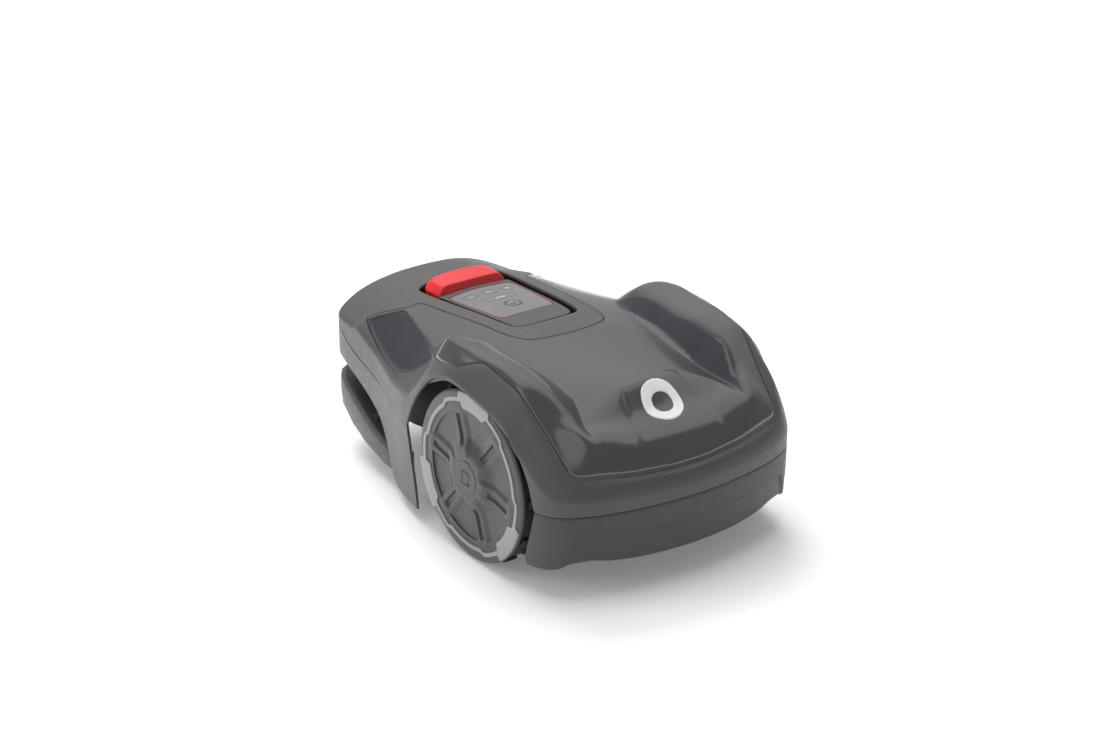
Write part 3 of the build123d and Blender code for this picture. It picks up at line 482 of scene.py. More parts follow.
def body_shell_piece():
    """Matte body: skin with a recess for the cover, rolled flank, wall, arch lips and an inside."""
    outline = body_outline(0, 2.5)
    rings = [outline]
    for inset in (0.25, 0.9, 2.0, 3.6, 6.0):
        rings.append(body_outline(inset, 3.2))
    recess_top = shifted(cover_loop, -SEAM)
    recess_low = shifted(cover_loop, -SEAM + 0.25)
    lip = [shifted(cover_loop, -SEAM - d) for d in (0.5, 1.1)]
    hole_lip = [shifted(opening_loop, -d) for d in (0.4, 1.0, 1.9)]
    loops = rings + [recess_top, recess_low] + lip + [opening_loop] + hole_lip
    extra = clear_of(plan_points(5.0, 2.6, body_outline(5.0, 8.0), outline), np.vstack(loops))
    verts, faces = triangulate(loops, extra, outline, [opening_loop])
    x, y = verts[:, 0], verts[:, 1]
    distance = np.maximum(edge_distance(x, y), 0)
    under_cover = inside_loop(verts, shifted(cover_loop, -SEAM + 0.12))
    seam = loop_distance(verts, recess_top)
    hole = loop_distance(verts, opening_loop)
    z = skin(x, y) - rolled(distance, FLANK_ROLL, 4.5)
    z = np.where(under_cover, z - 3.4, z - rolled(seam, 1.1, 0.7))
    z -= rolled(hole, 1.9, 1.5)
    # the shell drops away under the front edge of the cover and swells out again below it
    z -= np.where(under_cover, 0, 5.5 * (1 - smooth(seam / 15)) * smooth((-212 - y) / 26))
    top = np.column_stack([verts, z])

    outer = [loop for loop in boundary_loops(faces) if np.abs(verts[loop, 0]).max() > 150][0]
    rim = top[outer]
    inward = shifted(rim[:, :2], WALL)
    if np.abs(inward[:, 0]).max() > np.abs(rim[:, 0]).max():
        inward = shifted(rim[:, :2], -WALL)
    # the underside follows the top, drawn in near the outline
    pull = np.clip(1 - distance / 14, 0, 1)[:, None]
    away = np.column_stack([-x, 10 - y])
    away /= np.maximum(np.linalg.norm(away, axis=1, keepdims=True), 1e-9)
    low = np.column_stack([verts + away * WALL * pull, z - SHEET - 2.4 * pull[:, 0]])
    low[outer, :2] = inward
    n = len(top)
    all_verts = [top, low]
    all_faces = [tuple(f) for f in faces] + [tuple(f[::-1] + n) for f in faces]

    bottom = split_height(rim[:, 1])
    in_arch = (rim[:, 1] > -203) & (rim[:, 1] < 54) & (np.abs(rim[:, 0]) > 150)
    bottom = np.where(in_arch, np.maximum(arch(rim[:, 1]), bottom), bottom)
    steps = 9
    count = len(outer)
    ids_out, ids_in = [list(outer)], [[i + n for i in outer]]
    total = 2 * n
    for k in range(1, steps + 1):
        t = k / steps
        zs = rim[:, 2] * (1 - t) + (bottom + 0.35) * t
        edge = 0.6 if k == steps else 0
        all_verts.append(np.column_stack([rim[:, :2] + (inward - rim[:, :2]) * edge / WALL, zs]))
        ids_out.append(list(range(total, total + count)))
        total += count
    for k in range(1, steps + 1):
        t = k / steps
        zs = low[outer, 2] * (1 - t) + (bottom + 0.35) * t
        all_verts.append(np.column_stack([inward, zs]))
        ids_in.append(list(range(total, total + count)))
        total += count
    for a, b in zip(ids_out, ids_out[1:]):
        all_faces += [(a[i], b[i], b[(i + 1) % count], a[(i + 1) % count]) for i in range(count)]
    for a, b in zip(ids_in, ids_in[1:]):
        all_faces += [(b[i], a[i], a[(i + 1) % count], b[(i + 1) % count]) for i in range(count)]
    a, b = ids_out[-1], ids_in[-1]
    all_faces += [(a[i], b[i], b[(i + 1) % count], a[(i + 1) % count]) for i in range(count)]
    for loop in boundary_loops(faces):
        if set(loop) == set(outer):
            continue
        m = len(loop)
        all_faces += [(loop[i], loop[(i + 1) % m], loop[(i + 1) % m] + n, loop[i] + n) for i in range(m)]
    make("body_shell_skin", np.vstack(all_verts), all_faces, "shell", shell_grey,
         ["body_shell"], smooth_angle=40)


def opening_liner_piece():
    """Thin wall that hangs under the edge of the body opening, beside the console."""
    near, far = shifted(opening_loop, -0.8), shifted(opening_loop, -2.2)
    rows = []
    for loop, drop in ((near, 2.2), (near, 14.0), (far, 14.0), (far, 2.2)):
        rows.append(np.column_stack([loop, skin(loop[:, 0], loop[:, 1]) - drop]))
    verts, faces = sweep_rows(rows, closed_columns=True)
    make("opening_liner", verts, faces, "shell", inner_black, smooth_angle=40)


def wall_lines():
    """Foot and crest of the inner fender walls in plan, each with a parallel line either side."""
    ys, xs = np.arange(-206, 46, 2.2), np.linspace(80, 150, 1401)
    hood, _, wall, nose = surfaces(*np.meshgrid(xs, ys))
    foot, crest = xs[np.argmax(wall > hood, axis=1)], wall_x(ys)
    shown = (crest - foot > 6) & (nose.min(1) > 150)
    lines = []
    for line in (foot[shown], crest[shown]):
        for aside in (-1.5, 0, 1.5):
            lines += [np.column_stack([sign * (line + aside), ys[shown]]) for sign in (-1, 1)]
    return lines


def top_cover_piece():
    """Glossy cover: closed sheet with rolled seam edges, the two dark rear facets, and the fender inner
    walls in the darker gloss as painted shade.
    """
    edge = shifted(cover_loop, SEAM)
    rings = [edge] + [shifted(cover_loop, SEAM + d) for d in (0.35, 0.9, 1.6)]
    windows = []
    for loop in (window_right, window_left):
        windows += [loop, shifted(loop, 0.5)]
    loops = rings + windows
    lines = wall_lines()
    extra = clear_of(plan_points(4.6, 2.3, edge, edge), np.vstack(loops + lines))
    verts, faces = triangulate(loops, extra, edge, lines=lines)
    x, y = verts[:, 0], verts[:, 1]
    seam = loop_distance(verts, edge)
    z = skin(x, y) - rolled(seam, 1.6, 1.3)
    dark = inside_loop(verts, shifted(window_right, 0.3)) | inside_loop(verts, shifted(window_left, 0.3))
    z -= np.where(dark, 0.5, 0)
    top = np.column_stack([verts, z])
    low = np.column_stack([verts, skin(x, y) - SHEET])
    middle = verts[faces].mean(1)
    in_window = inside_loop(middle, window_right) | inside_loop(middle, window_left)
    # inner walls of the fenders take the darker gloss as painted shade
    hood, roof, wall, nose = surfaces(np.abs(middle[:, 0]), middle[:, 1])
    wall_shade_faces = (wall < roof) & (wall > hood) & (wall < nose - 3) & (middle[:, 1] < 50)
    verts, all_faces = closed_sheet(top, low, faces)
    zones = np.zeros(len(all_faces), int)
    zones[:len(faces)] = in_window | wall_shade_faces
    make("top_cover_skin", verts, all_faces, "shell", [cover_gloss, rear_facet_and_wall_shade_gloss],
         ["top_cover"], zones=zones, smooth_angle=62)


def outline_at(inset):
    """Dense right-half outline from the front centre to the rear centre."""
    loop = body_outline(inset, 1.0)
    half = loop[(loop[:, 0] > 0.2)]
    return half[np.argsort(np.arctan2(half[:, 1] - 10, half[:, 0]))]


def skirt_top(y):
    """Upper edge of both skirts, half a seam below the parting line."""
    return split_height(y) - SEAM


def skirt_piece(name, node, ends, lows, front, lean_in, mat):
    """A skirt wall around the front or the rear; `ends` gives the end line y for each height.

    The wall leans in by `lean_in`, a function of position across and height."""
    half = outline_at(0.0)
    length = np.concatenate([[0], np.cumsum(np.linalg.norm(np.diff(half, axis=0), axis=1))])
    columns, rows = 150, 34
    loops = []
    for v in np.linspace(0, 1, rows):
        # a first guess of the height picks the end of this row
        guess = skirt_top(half[:, 1]) * (1 - v) + lows(half[:, 0], half[:, 1]) * v
        cut = half[:, 1] < ends(guess) if front else half[:, 1] > ends(guess)
        at = length[cut]
        start, stop = (0.0, at[-1]) if front else (at[0], length[-1])
        u = np.linspace(start, stop, columns)
        x, y = np.interp(u, length, half[:, 0]), np.interp(u, length, half[:, 1])
        z = skirt_top(y) * (1 - v) + lows(x, y) * v
        row = np.column_stack([x, y, z])
        if front:
            row[0, 0] = 0
            row = np.vstack([row[::-1] * [-1, 1, 1], row[1:]])
        else:
            row[-1, 0] = 0
            row = np.vstack([row, row[-2::-1] * [-1, 1, 1]])
        loops.append(row)
    outer, inner = [], []
    for k, row in enumerate(loops):
        normal = row[:, :2] - shifted_open(row[:, :2], 1.0)
        if (normal * (row[:, :2] - [0, 10])).sum() < 0:
            normal = -normal
        edge = {0: 0.9, 1: 0.15}.get(min(k, rows - 1 - k), 0.0)
        amount = lean_in(row[:, 0], row[:, 2]) + edge
        outer.append(np.column_stack([row[:, :2] - normal * amount[:, None], row[:, 2]]))
        inner.append(np.column_stack([row[:, :2] - normal * (amount + WALL - edge)[:, None], row[:, 2]]))
    verts, faces = sweep_rows(outer + inner[::-1], closed_rows=False, closed_columns=True)
    n, m = len(outer[0]), len(outer) * 2
    half_rows = len(outer)
    for column in (0, n - 1):
        for r in range(half_rows - 1):
            a, b = r * n + column, (r + 1) * n + column
            c, d = (m - 2 - r) * n + column, (m - 1 - r) * n + column
            faces.append((a, b, c, d))
    make(name, verts, faces, "shell", mat, [node], smooth_angle=35)


def shifted_open(line, amount):
    along = np.gradient(line, axis=0)
    along /= np.maximum(np.linalg.norm(along, axis=1, keepdims=True), 1e-9)
    return line + amount * np.stack([-along[:, 1], along[:, 0]], 1)


front_end = curve((24, -187), (41, -187), (79, -197), (103, -203), (107, -203.5))
rear_end = curve((10, 35), (16, 35), (90, 48), (121, 54), (180, 56))
front_low = curve((0, 42), (60, 42.5), (110, 45.5), (134, 49), (151, 47.5), (164, 43), (175, 38.5),
                  (186, 34.5), (192, 33))
front_lean = curve((30, 4.5), (44, 2.8), (60, 1.6), (80, 0.5), (107, 0))
rear_lean = curve((10, 3.5), (60, 2.0), (110, 0.6), (125, 0))


def bumper_lean(x, z):
    """Even lean plus a lower panel that is tucked in between the front corners."""
    panel_edge = 166 - 0.42 * (z - 44)
    return front_lean(z) + 3.4 * smooth((panel_edge - np.abs(x)) / 7) * smooth((79 - z) / 3)


rear_low = curve((30, 16), (98, 14.5), (112, 18), (121, 30), (140, 60), (158, 77), (175, 87), (200, 97),
                 (230, 107), (292, 121), (310, 124))

body_shell_piece()
opening_liner_piece()
top_cover_piece()
# bumper and rear skirt are one plastic, drawn in a darker and a lighter grey as painted shade and painted
# light
skirt_piece("front_bumper_skin", "front_bumper", front_end, lambda x, y: front_low(np.abs(x)), True,
            bumper_lean, bumper_shaded_grey)
skirt_piece("rear_skirt_skin", "rear_skirt", rear_end, lambda x, y: rear_low(y), False,
            lambda x, z: rear_lean(z), skirt_lit_grey)


# ---------------------------------------------------------------- badge
def badge_piece():
    """Generic white leaf badge that lies on the raised pad of the nose."""
    half = rounded([(0, -225), (11, -223.5), (24, -214.5), (27, -203), (21, -188), (10, -183), (0, -182)],
                   closed=False)
    half[0], half[-1] = (0, -225), (0, -182)
    outer = resample(mirrored(half), 1.2)
    eye = resample(mirrored(rounded([(0, -214), (8, -213), (14, -206.5), (12.5, -198), (6.5, -194.5),
                                     (0, -194)],
                                    closed=False)), 1.2)
    rings = [outer, shifted(outer, 0.5), shifted(outer, 1.0), eye, shifted(eye, -0.5), shifted(eye, -1.0)]
    extra = grid(2.0, -28, 28, -226, -181)
    extra = extra[inside_loop(extra, shifted(outer, 1.6)) & ~inside_loop(extra, shifted(eye, -1.6))]
    verts, faces = triangulate(rings, extra, outer, [eye])
    x, y = verts[:, 0], verts[:, 1]
    distance = np.minimum(loop_distance(verts, outer), loop_distance(verts, eye))
    top = np.column_stack([verts, skin(x, y) + 1.15 - rolled(distance, 0.9, 0.7)])
    low = np.column_stack([verts, skin(x, y) - 0.3])
    verts, faces = closed_sheet(top, low, faces)
    make("badge_plate", verts, faces, "shell", badge_white, ["badge"], smooth_angle=50)


# ---------------------------------------------------------------- drive wheels
def wheel_point(sign, across, radius, angle):
    return (sign * across, WHEEL_Y + radius * cos(angle), AXLE_Z + radius * sin(angle))


def turned(name, sign, profile, body, mat, count=144, replaces=()):
    """Closed ring turned about the wheel axis from a closed (across, radius) profile."""
    rows = [[wheel_point(sign, a, r, 2 * pi * k / count) for k in range(count)] for a, r in profile]
    verts, faces = sweep_rows(rows, closed_columns=True)
    make(name, verts, faces, body, mat, replaces, smooth_angle=32)


def polar_plate(name, sign, low, high, inner, outer, body, mat, replaces=()):
    """Ring plate whose inner and outer radii are functions of the angle, with rounded outer edges."""
    count, e = 720, 0.6
    angles = [2 * pi * k / count for k in range(count)]
    r0 = np.array([inner(a) for a in angles])
    r1 = np.array([outer(a) for a in angles])
    rows = []
    for across, grow in ((low, 0), (high - e, 0), (high - 0.3 * e, 0.3 * e), (high, e)):
        rows.append([wheel_point(sign, across, r - grow, a) for r, a in zip(r1, angles)])
    for t in (0.33, 0.66):
        rows.append([wheel_point(sign, high, (p - e) * (1 - t) + (q + e) * t, a)
                     for p, q, a in zip(r1, r0, angles)])
    for across, grow in ((high, e), (high - 0.3 * e, 0.3 * e), (high - e, 0), (low, 0)):
        rows.append([wheel_point(sign, across, r + grow, a) for r, a in zip(r0, angles)])
    verts, faces = sweep_rows(rows, closed_columns=True)
    make(name, verts, faces, body, mat, replaces, smooth_angle=32)


def step_wave(angle, period, duty, soft):
    """0 to 1 pulse train with soft shoulders; `duty` is the share of each period that is 1."""
    t = (angle / period) % 1
    t = abs(t - 0.5) * 2
    return float(smooth((duty - t) / soft + 0.5))


def wheel(side, sign):
    body = f"wheel_{side}"
    start = -pi / 2
    # tyre carcass with rounded shoulders, behind the face plate
    carcass = [(141, 88), (141, 96), (142, 99.5), (145, 101.6), (149, 102), (170, 102), (174, 101.4),
               (177, 100), (178.4, 97), (178.4, 88)]
    turned(f"tyre_carcass_{side}", sign, carcass, body, tyre_black,
           replaces=[f"tyre_{side}"])
    verts, faces = [], []
    for k in range(24):
        middle = start + 2 * pi * k / 24
        low = 142 if k % 2 else 157
        half = 0.044
        base = len(verts)
        for across, shrink in ((low, 1), (low + 1, 0), (low + 17.5, 0), (low + 18.5, 1)):
            for radius, angle in ((99, -half), (105.2 - shrink, -half), (106.0 - shrink, -half * 0.72),
                                  (106.0 - shrink, half * 0.72), (105.2 - shrink, half), (99, half)):
                slant = 0.02 * (across - low - 8.5) / 8.5 * (1 if k % 2 else -1)
                verts.append(wheel_point(sign, across, radius, middle + angle + slant))
        for r in range(3):
            for i in range(6):
                a, b = base + 6 * r + i, base + 6 * r + (i + 1) % 6
                faces.append((a, b, b + 6, a + 6))
        faces.append(tuple(base + i for i in range(6)))
        faces.append(tuple(base + 18 + i for i in range(6)))
    make(f"tyre_lugs_{side}", verts, faces, body, tyre_black, smooth_angle=28)

    # rim: dish and sleeve behind the cap, and the grey face plate around it
    dish = [(160, 20), (160, 80), (142, 84), (142, 87.9), (176.2, 87.9), (177.4, 90), (178, 80),
            (175.2, 70), (166, 66), (166, 20)]
    turned(f"rim_dish_{side}", sign, dish, body, inner_black, replaces=[f"wheel_rim_{side}"])
    sleeve = [(137, 6.1), (137, 15), (138, 16), (161, 16), (161, 6.1)]
    turned(f"rim_sleeve_{side}", sign, sleeve, body, inner_black, count=48)
    plate = [(178.6, 78), (178.6, 101.5), (179.4, 103.4), (181.0, 104.2), (182.6, 103.9), (184.0, 102.4),
             (184.9, 99.5), (185.0, 78)]
    turned(f"face_plate_{side}", sign, plate, body, hub_dark)

    # pale ring: three wide patches that reach the rim edge, joined by a thin kinked band
    turn = radians(36)

    def kink(a):
        return step_wave(a - turn - pi / 3, 2 * pi / 3, 0.36, 0.09)

    def outer(a):
        wide = step_wave(a - turn, 2 * pi / 3, 0.30, 0.035)
        return 95.5 - 4.5 * kink(a) + 7.8 * wide

    def inner(a):
        wide = step_wave(a - turn, 2 * pi / 3, 0.25, 0.045)
        return 90.5 - 4.5 * kink(a) - 7.5 * wide

    polar_plate(f"ring_band_{side}", sign, 184.0, 186.4, inner, outer, body, ring_grey,
                [f"wheel_ring_{side}"])

    # dark cap: six ridges with slots run down from a domed hub with a small plain emblem
    count, rows = 480, []
    slot_turn = radians(12)

    def cap_height(r, a):
        spoke = (a - slot_turn) % (pi / 3)
        spoke = min(spoke, pi / 3 - spoke) * r
        z = 181.8 + 3.0 * smooth((r - 72) / 14)
        z += 8.6 * smooth((50 - r) / 28)
        ridge = smooth((17 - spoke) / 9) * smooth((r - 20) / 16)
        z += 2.7 * ridge * smooth((90 - r) / 14)
        slot_depth = smooth((4.4 - spoke) / 1.0) * smooth((r - 39) / 1.2) * smooth((76 - r) / 1.2)
        z -= 2.6 * slot_depth
        z += 0.9 * smooth((21 - r) / 1.6)
        shape = max(abs(r * cos(a)) * 1.15 - 7.5, abs(r * sin(a)) - 7.5)
        z -= 0.8 * smooth((1.3 - abs(shape)) / 0.9) * (r < 16)
        return z

    radii = sorted(set(list(np.linspace(1.0, 16, 16)) + list(np.linspace(17, 25, 13)) +
                       list(np.linspace(27, 36, 8)) + list(np.linspace(37.5, 42, 10)) +
                       list(np.linspace(44, 72, 18)) + list(np.linspace(73, 78, 9)) + [81, 84, 88]))
    edge = [min(inner(2 * pi * k / count) - 0.5, 91) for k in range(count)]
    for r in radii:
        angles = [2 * pi * k / count for k in range(count)]
        rows.append([wheel_point(sign, cap_height(min(r * e / 88, 90), a), r * e / 88 if r > 60 else
                                 r * (1 + (e / 88 - 1) * r / 60), a) for e, a in zip(edge, angles)])
    for across, r in ((181.0, 1.0), (178.8, 1.0), (178.8, 0.5), (178.8, 0.02)):
        rows.append([wheel_point(sign, across, r * e, 2 * pi * k / count) for k, e in enumerate(edge)])
    verts, faces = sweep_rows(rows)
    faces.append(tuple(range(count)))
    last = (len(rows) - 1) * count
    faces.append(tuple(range(last, last + count)))
    make(f"hub_cap_face_{side}", verts, faces, body, hub_dark, [f"hub_cap_{side}"],
         smooth_angle=30)


badge_piece()
for side, sign in (("left", -1), ("right", 1)):
    wheel(side, sign)


# ---------------------------------------------------------------- stop button
def stop_button_piece():
    """Red bar with an arched crown, chamfered ends and softly rounded edges."""
    us = np.concatenate([np.linspace(-1, -0.9, 16), np.linspace(-0.88, 0.88, 60), np.linspace(0.9, 1, 16)])
    vs = np.concatenate([np.linspace(-1, -0.7, 14), np.linspace(-0.66, 0.66, 24), np.linspace(0.7, 1, 14)])
    u, v = np.meshgrid(us, vs)
    crown = 228.0 - 7.6 * np.abs(u) ** 2.2
    ends = 213 + (1 - np.abs(u)) * 51 * 1.2
    front = 211.5 + (v + 1) * 19 * 2.6
    fall = 223.2 + (v + 1) * 19 * 0.14
    back = 219 + (1 - v) * 19 * 2.4
    z = blend_min(blend_min(blend_min(blend_min(crown, fall, 1.2), ends, 1.8), front, 1.4), back, 1.6)
    # corners seen from above are rounded
    bow = 2.2 * np.abs(v) ** 3
    x = u * (51 - bow)
    y = 197 + v * (19 - 2.4 * np.abs(u) ** 6)
    rows = [np.column_stack([x[k], y[k], z[k]]) for k in range(len(vs))]
    verts, faces = sweep_rows(rows, closed_rows=False)
    low = verts.copy()
    low[:, 2] = BAR_UNDERSIDE
    verts, faces = closed_sheet(verts, low, faces)
    make("stop_bar", verts, faces, "stop_button", stop_red, ["stop_button"], smooth_angle=40)


# ---------------------------------------------------------------- console
def slab(name, loop, top_drop, thick, body, mat, replaces=(), holes=(), roll=0.8, step=3.0):
    """Closed plate that follows the skin, `top_drop` below it, with rolled edges."""
    rings = [loop] + [shifted(loop, d) for d in (0.3 * roll, roll)]
    for hole in holes:
        rings += [hole] + [shifted(hole, -d) for d in (0.4 * 0.6, 0.6)]
    x0, y0 = loop.min(0)
    x1, y1 = loop.max(0)
    extra = grid(step, x0, x1, y0, y1)
    keep = inside_loop(extra, shifted(loop, roll + 0.7))
    for hole in holes:
        keep &= ~inside_loop(extra, shifted(hole, -1.3))
    verts, faces = triangulate(rings, extra[keep], loop, holes)
    x, y = verts[:, 0], verts[:, 1]
    z = skin(x, y) - top_drop - rolled(loop_distance(verts, loop), roll, roll * 0.8)
    for hole in holes:
        z -= rolled(loop_distance(verts, hole), 0.6, 0.45)
    top = np.column_stack([verts, z])
    low = np.column_stack([verts, skin(x, y) - top_drop - thick])
    verts, faces = closed_sheet(top, low, faces)
    make(name, verts, faces, body, mat, replaces, smooth_angle=38)


def round_rect(cx, cy, wide, deep, radius, count=8):
    points = []
    for sx, sy, start in ((1, 1, 0), (-1, 1, 90), (-1, -1, 180), (1, -1, 270)):
        for k in range(count + 1):
            a = radians(start + 90 * k / count)
            points.append((cx + sx * (wide / 2 - radius) + radius * cos(a),
                           cy + sy * (deep / 2 - radius) + radius * sin(a)))
    return np.array(points)


def ring_loop(cx, cy, radius, count=48):
    return np.array([(cx + radius * cos(2 * pi * k / count), cy + radius * sin(2 * pi * k / count))
                     for k in range(count)])


def console():
    keys = (("mode", -27, 145, 17, 13), ("park", 0, 145, 17, 13), ("light", 27, 145, 17, 13),
            ("start", 0, 121, 46, 12), ("power", 0, 92, 22, 22))
    housing = resample(rounded([(0, 20), (30, 22), (41, 28), (44.5, 42), (48, 100), (52, 172), (52.5, 200),
                                (50, 214), (40, 219), (-40, 219), (-50, 214), (-52.5, 200), (-52, 172),
                                (-48, 100), (-44.5, 42), (-41, 28), (-30, 22)]), 2.2)
    seat = resample(rounded([(0, 56), (34, 57), (41, 63), (44, 100), (48.5, 160), (46, 168), (-46, 168),
                             (-48.5, 160), (-44, 100), (-41, 63), (-34, 57)]), 2.2)
    button_well = round_rect(0, 197, 105, 41, 5)
    slab("console_surround", housing, 3.7, 9.0, "chassis", shell_grey,
         holes=[seat, button_well], roll=1.4, step=4.0)
    floor = shifted(seat, -0.6)
    slab("console_floor", floor, 9.4, 3.0, "chassis", inner_black, roll=0.3, step=6.0)
    slab("console_well", shifted(button_well, -0.6), 21.5, 4.0, "chassis", inner_black,
         roll=0.3, step=6.0)
    panel = resample(rounded([(0, 58), (33, 59), (39.5, 65), (42.5, 100), (46.5, 158), (44.5, 166),
                              (-44.5, 166), (-46.5, 158), (-42.5, 100), (-39.5, 65), (-33, 59)]), 1.8)
    holes = []
    for name, cx, cy, wide, deep in keys:
        if name == "power":
            holes.append(ring_loop(cx, cy, 11.3))
        else:
            holes.append(round_rect(cx, cy, wide + 0.6, deep + 0.6, 2.8, 6))
    slab("panel_sheet", panel, 4.0, 3.0, "chassis", lens_grey, ["key_panel"], holes=holes,
         roll=0.7, step=3.0)
    # warm thin border along the panel, just outside it
    border_out, border_in = shifted(panel, -0.9), shifted(panel, -0.15)
    slab("panel_border", border_out, 3.95, 2.0, "chassis", orange_trim, holes=[border_in],
         roll=0.2, step=50.0)
    for name, cx, cy, wide, deep in keys:
        loop = ring_loop(cx, cy, 11.0) if name == "power" else round_rect(cx, cy, wide, deep, 2.6, 6)
        face = lens_dark if name == "power" else lens_grey
        slab(f"key_cap_{name}", loop, 4.0, 4.0, f"key_{name}", face, [f"key_{name}"],
             roll=0.2, step=2.0)
        if name == "power":
            mark = [(ring_loop(cx, cy, 6.4), ring_loop(cx, cy, 5.4)),
                    (round_rect(cx, cy + 4.4, 1.1, 5.2, 0.4, 3), None)]
        elif name == "start":
            mark = [(round_rect(cx, cy - drop, 15, 1.1, 0.5, 3), None) for drop in (0, 2.6)]
        elif name == "mode":
            mark = [(ring_loop(cx, cy, 3.0, 28), ring_loop(cx, cy, 2.2, 28))]
        elif name == "park":
            mark = [(round_rect(cx, cy, 5.4, 4.0, 0.8, 3), round_rect(cx, cy, 3.8, 2.4, 0.5, 3))]
        else:
            mark = [(np.array([(cx - 3, cy - 2.2), (cx + 3, cy - 2.2), (cx, cy + 3)]), None)]
        for k, (shape, hollow) in enumerate(mark):
            slab(f"key_mark_{name}_{k}", shape, 3.93, 0.5, f"key_{name}", key_mark,
                 holes=[hollow] if hollow is not None else [], roll=0.04, step=40.0)


# ---------------------------------------------------------------- carrying handle
def handle_piece():
    """Rounded rim over the chassis handle, rising towards the rear."""
    half = rounded([(155.5, 119), (156.5, 150), (151.5, 200), (143.5, 243), (134.5, 280), (122, 300.5),
                    (95, 308.5), (0, 312.5)], closed=False)
    path = resample(np.vstack([half, half[-2::-1] * [-1, 1]]), 4.0, closed=False)
    side = path - shifted_open(path, 1.0)
    if side[0, 0] < 0:
        side = -side
    low, high = handle_low(path[:, 1]), handle_high(path[:, 1])
    rows = []
    for k, (p, out) in enumerate(zip(path, side)):
        z0, z1 = low[k], high[k]
        shape = ((-24.5, z0 - 0.6), (-3, z0 - 0.6), (-0.6, z0 + 0.6), (0.6, z0 + 4), (1.2, (z0 + z1) / 2),
                 (0.9, z1 - 3), (0.2, z1 + 0.5), (-1.4, z1 + 2.8), (-3.6, z1 + 3.8), (-6, z1 + 3.4),
                 (-8, z1 + 2.0), (-10.5, z1 + 0.8), (-24.5, z1 + 0.6))
        rows.append([(p[0] + out[0] * o, p[1] + out[1] * o, z) for o, z in shape])
    verts, faces = sweep_rows(rows)
    n = len(rows[0])
    faces.append(tuple(range(n)))
    faces.append(tuple(range(len(verts) - n, len(verts))))
    make("handle_rim", verts, faces, "chassis", chassis_grey, smooth_angle=40)


handle_low = curve((100, 20), (118, 22), (183, 32), (239, 42), (283, 56), (320, 68))
handle_high = curve((100, 42), (129, 46), (300, 92), (320, 94))

handle_piece()
stop_button_piece()
console()

# ---------------------------------------------------------------- finishes of the CAD nodes that stay
finishes = {
    "chassis_lower": chassis_dark, "chassis_upper": inner_black, "chassis_seal": rubber,
    "chassis_screws": steel, "battery_pack": battery_blue, "battery_hatch": chassis_dark,
    "main_board": board_green, "loop_sensors": board_green, "charging_contacts": brass,
    "wiring_harness": rubber, "console_housing": inner_black, "display_board": board_green,
    "cutter_tower": inner_black, "wheel_bearings": steel, "float_posts": rubber,
    "cutter_carriage": inner_black, "cutting_motor": steel, "height_dial": chassis_dark,
    "cutting_disc": chassis_dark, "blade_screws": steel, "disc_bolt": steel, "skid_plate": chassis_dark,
    "caster_fork": chassis_dark, "caster_axle": steel, "caster_wheel": rubber,
}
for k in (1, 2, 3):
    finishes[f"blade_{k}"] = steel
for side in ("left", "right"):
    finishes[f"gearbox_{side}"] = inner_black
    finishes[f"drive_motor_{side}"] = steel
    finishes[f"drive_pinion_{side}"] = steel
    finishes[f"drive_gear_{side}"] = nylon
    finishes[f"wheel_axle_{side}"] = steel
for name, obj in nodes.items():
    if name in finishes:
        obj.data.materials.clear()
        obj.data.materials.append(finishes[name])
        obj.data.shade_smooth()
        obj.data.set_sharp_from_angle(angle=radians(30))
for name in ("chassis_lower", "caster_fork", "battery_hatch", "height_dial"):
    edge = nodes[name].modifiers.new("edge", "BEVEL")
    edge.width = 0.0012
    edge.segments = 3
    edge.limit_method = "ANGLE"
    edge.angle_limit = radians(40)
    edge.harden_normals = True


# ---------------------------------------------------------------- floor, light and camera
def light_path(tree, output):
    return tree.nodes.new("ShaderNodeLightPath").outputs[output]


def mixed(tree, factor, low, high):
    """Node that mixes two values, each a number or a socket."""
    node = tree.nodes.new("ShaderNodeMix")
    node.data_type = "FLOAT"
    for socket, value in (("Factor", factor), ("A", low), ("B", high)):
        if isinstance(value, (int, float)):
            node.inputs[socket].default_value = value
        else:
            tree.links.new(value, node.inputs[socket])
    return node.outputs["Result"]


floor_material = bpy.data.materials.new("floor_paper")
floor_material.use_nodes = True
paper = floor_material.node_tree.nodes["Principled BSDF"]
paper.inputs["Base Color"].default_value = (0.9, 0.9, 0.9, 1)
paper.inputs["Roughness"].default_value = 0.9
set_input(paper, "Specular IOR Level", 0.0)
set_input(paper, "Emission Color", (1, 1, 1, 1))
set_input(paper, "Emission Strength", 0.16)
bm = bmesh.new()
bmesh.ops.create_grid(bm, x_segments=2, y_segments=2, size=9.0)
floor_mesh = bpy.data.meshes.new("floor")
bm.to_mesh(floor_mesh)
bm.free()
floor = bpy.data.objects.new("floor", floor_mesh)
bpy.context.scene.collection.objects.link(floor)
floor_mesh.materials.append(floor_material)

# The room is white to the camera and dim to matt surfaces. Glossy surfaces see it dark with two
# large bright panels, each a (direction, half angle, brightness low down, brightness overhead).
PANELS = (((0.557, 0.435, 0.707), 46, 0.52, 1.0), ((-0.55, -0.30, 0.78), 32, 0.7, 0.9))
world = bpy.data.worlds.new("studio")
bpy.context.scene.world = world
world.use_nodes = True
tree = world.node_tree
sky = tree.nodes["Background"]
sky.inputs["Color"].default_value = (1, 1, 1, 1)
direction = tree.nodes.new("ShaderNodeTexCoord").outputs["Generated"]
parts = tree.nodes.new("ShaderNodeSeparateXYZ")
tree.links.new(direction, parts.inputs["Vector"])


def ramp(tree, value, start, stop, kind="LINEAR"):
    node = tree.nodes.new("ShaderNodeMapRange")
    node.interpolation_type = kind
    node.inputs["From Min"].default_value = start
    node.inputs["From Max"].default_value = stop
    tree.links.new(value, node.inputs["Value"])
    return node.outputs["Result"]


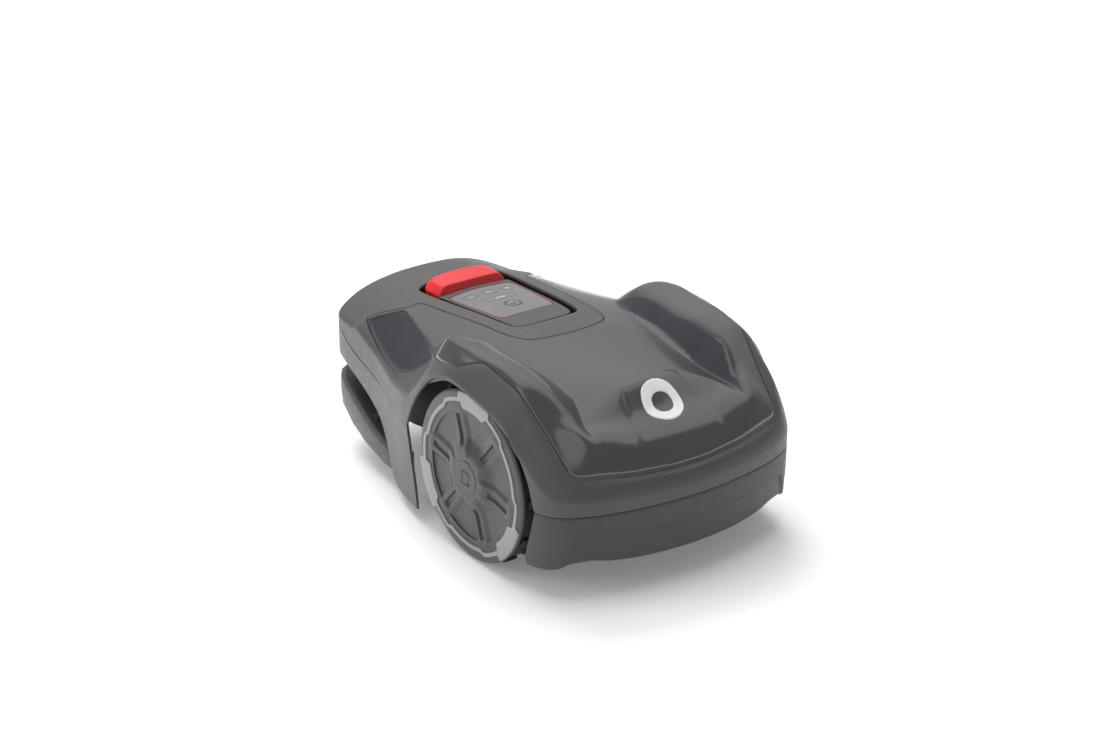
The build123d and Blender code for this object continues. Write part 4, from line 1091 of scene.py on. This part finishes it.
height = ramp(tree, parts.outputs["Z"], 0.35, 0.72)
gloss = 0.28
for centre, half_angle, low, high in PANELS:
    toward = tree.nodes.new("ShaderNodeVectorMath")
    toward.operation = "DOT_PRODUCT"
    toward.inputs[1].default_value = Vector(centre).normalized()
    tree.links.new(direction, toward.inputs[0])
    inside = ramp(tree, toward.outputs["Value"], cos(radians(half_angle + 1.5)),
                  cos(radians(half_angle - 1.5)), "SMOOTHSTEP")
    gloss = mixed(tree, inside, gloss, mixed(tree, height, low, high))
seen = mixed(tree, light_path(tree, "Is Glossy Ray"), 0.32, gloss)
seen = mixed(tree, light_path(tree, "Is Camera Ray"), seen, 1.0)
tree.links.new(seen, sky.inputs["Strength"])


def area_light(name, place, target, size_x, size_y, power):
    data = bpy.data.lights.new(name, "AREA")
    data.shape = "RECTANGLE"
    data.size, data.size_y, data.energy = size_x, size_y, power
    light = bpy.data.objects.new(name, data)
    light.location = place
    light.rotation_euler = (Vector(target) - Vector(place)).to_track_quat("-Z", "Y").to_euler()
    light.visible_glossy = False
    bpy.context.scene.collection.objects.link(light)


area_light("softbox_back", (0.7, 2.2, 2.6), (0, 0, 0.1), 2.6, 2.0, 92)
area_light("softbox_top", (-0.2, 0.4, 3.4), (0, 0, 0), 3.0, 3.0, 70)
area_light("softbox_left", (-2.6, 1.5, 0.9), (0, 0.05, 0.1), 1.2, 1.4, 30)

azimuth, elevation = radians(-35.9), radians(23.4)
right = Vector((cos(azimuth), sin(azimuth), 0))
back = Vector((sin(azimuth) * cos(elevation), -cos(azimuth) * cos(elevation), sin(elevation)))
up = back.cross(right)
target = Vector((0.012, 0.022 - MIDDLE_Y / 1000, 0.153))
camera_data = bpy.data.cameras.new("camera")
camera_data.sensor_width = 36
camera_data.lens = 85.6
camera = bpy.data.objects.new("camera", camera_data)
camera.matrix_world = Matrix((
    (right.x, up.x, back.x, target.x + 3.2 * back.x),
    (right.y, up.y, back.y, target.y + 3.2 * back.y),
    (right.z, up.z, back.z, target.z + 3.2 * back.z),
    (0, 0, 0, 1)))
bpy.context.scene.collection.objects.link(camera)
bpy.context.scene.camera = camera
bpy.context.scene.view_settings.view_transform = "Standard"
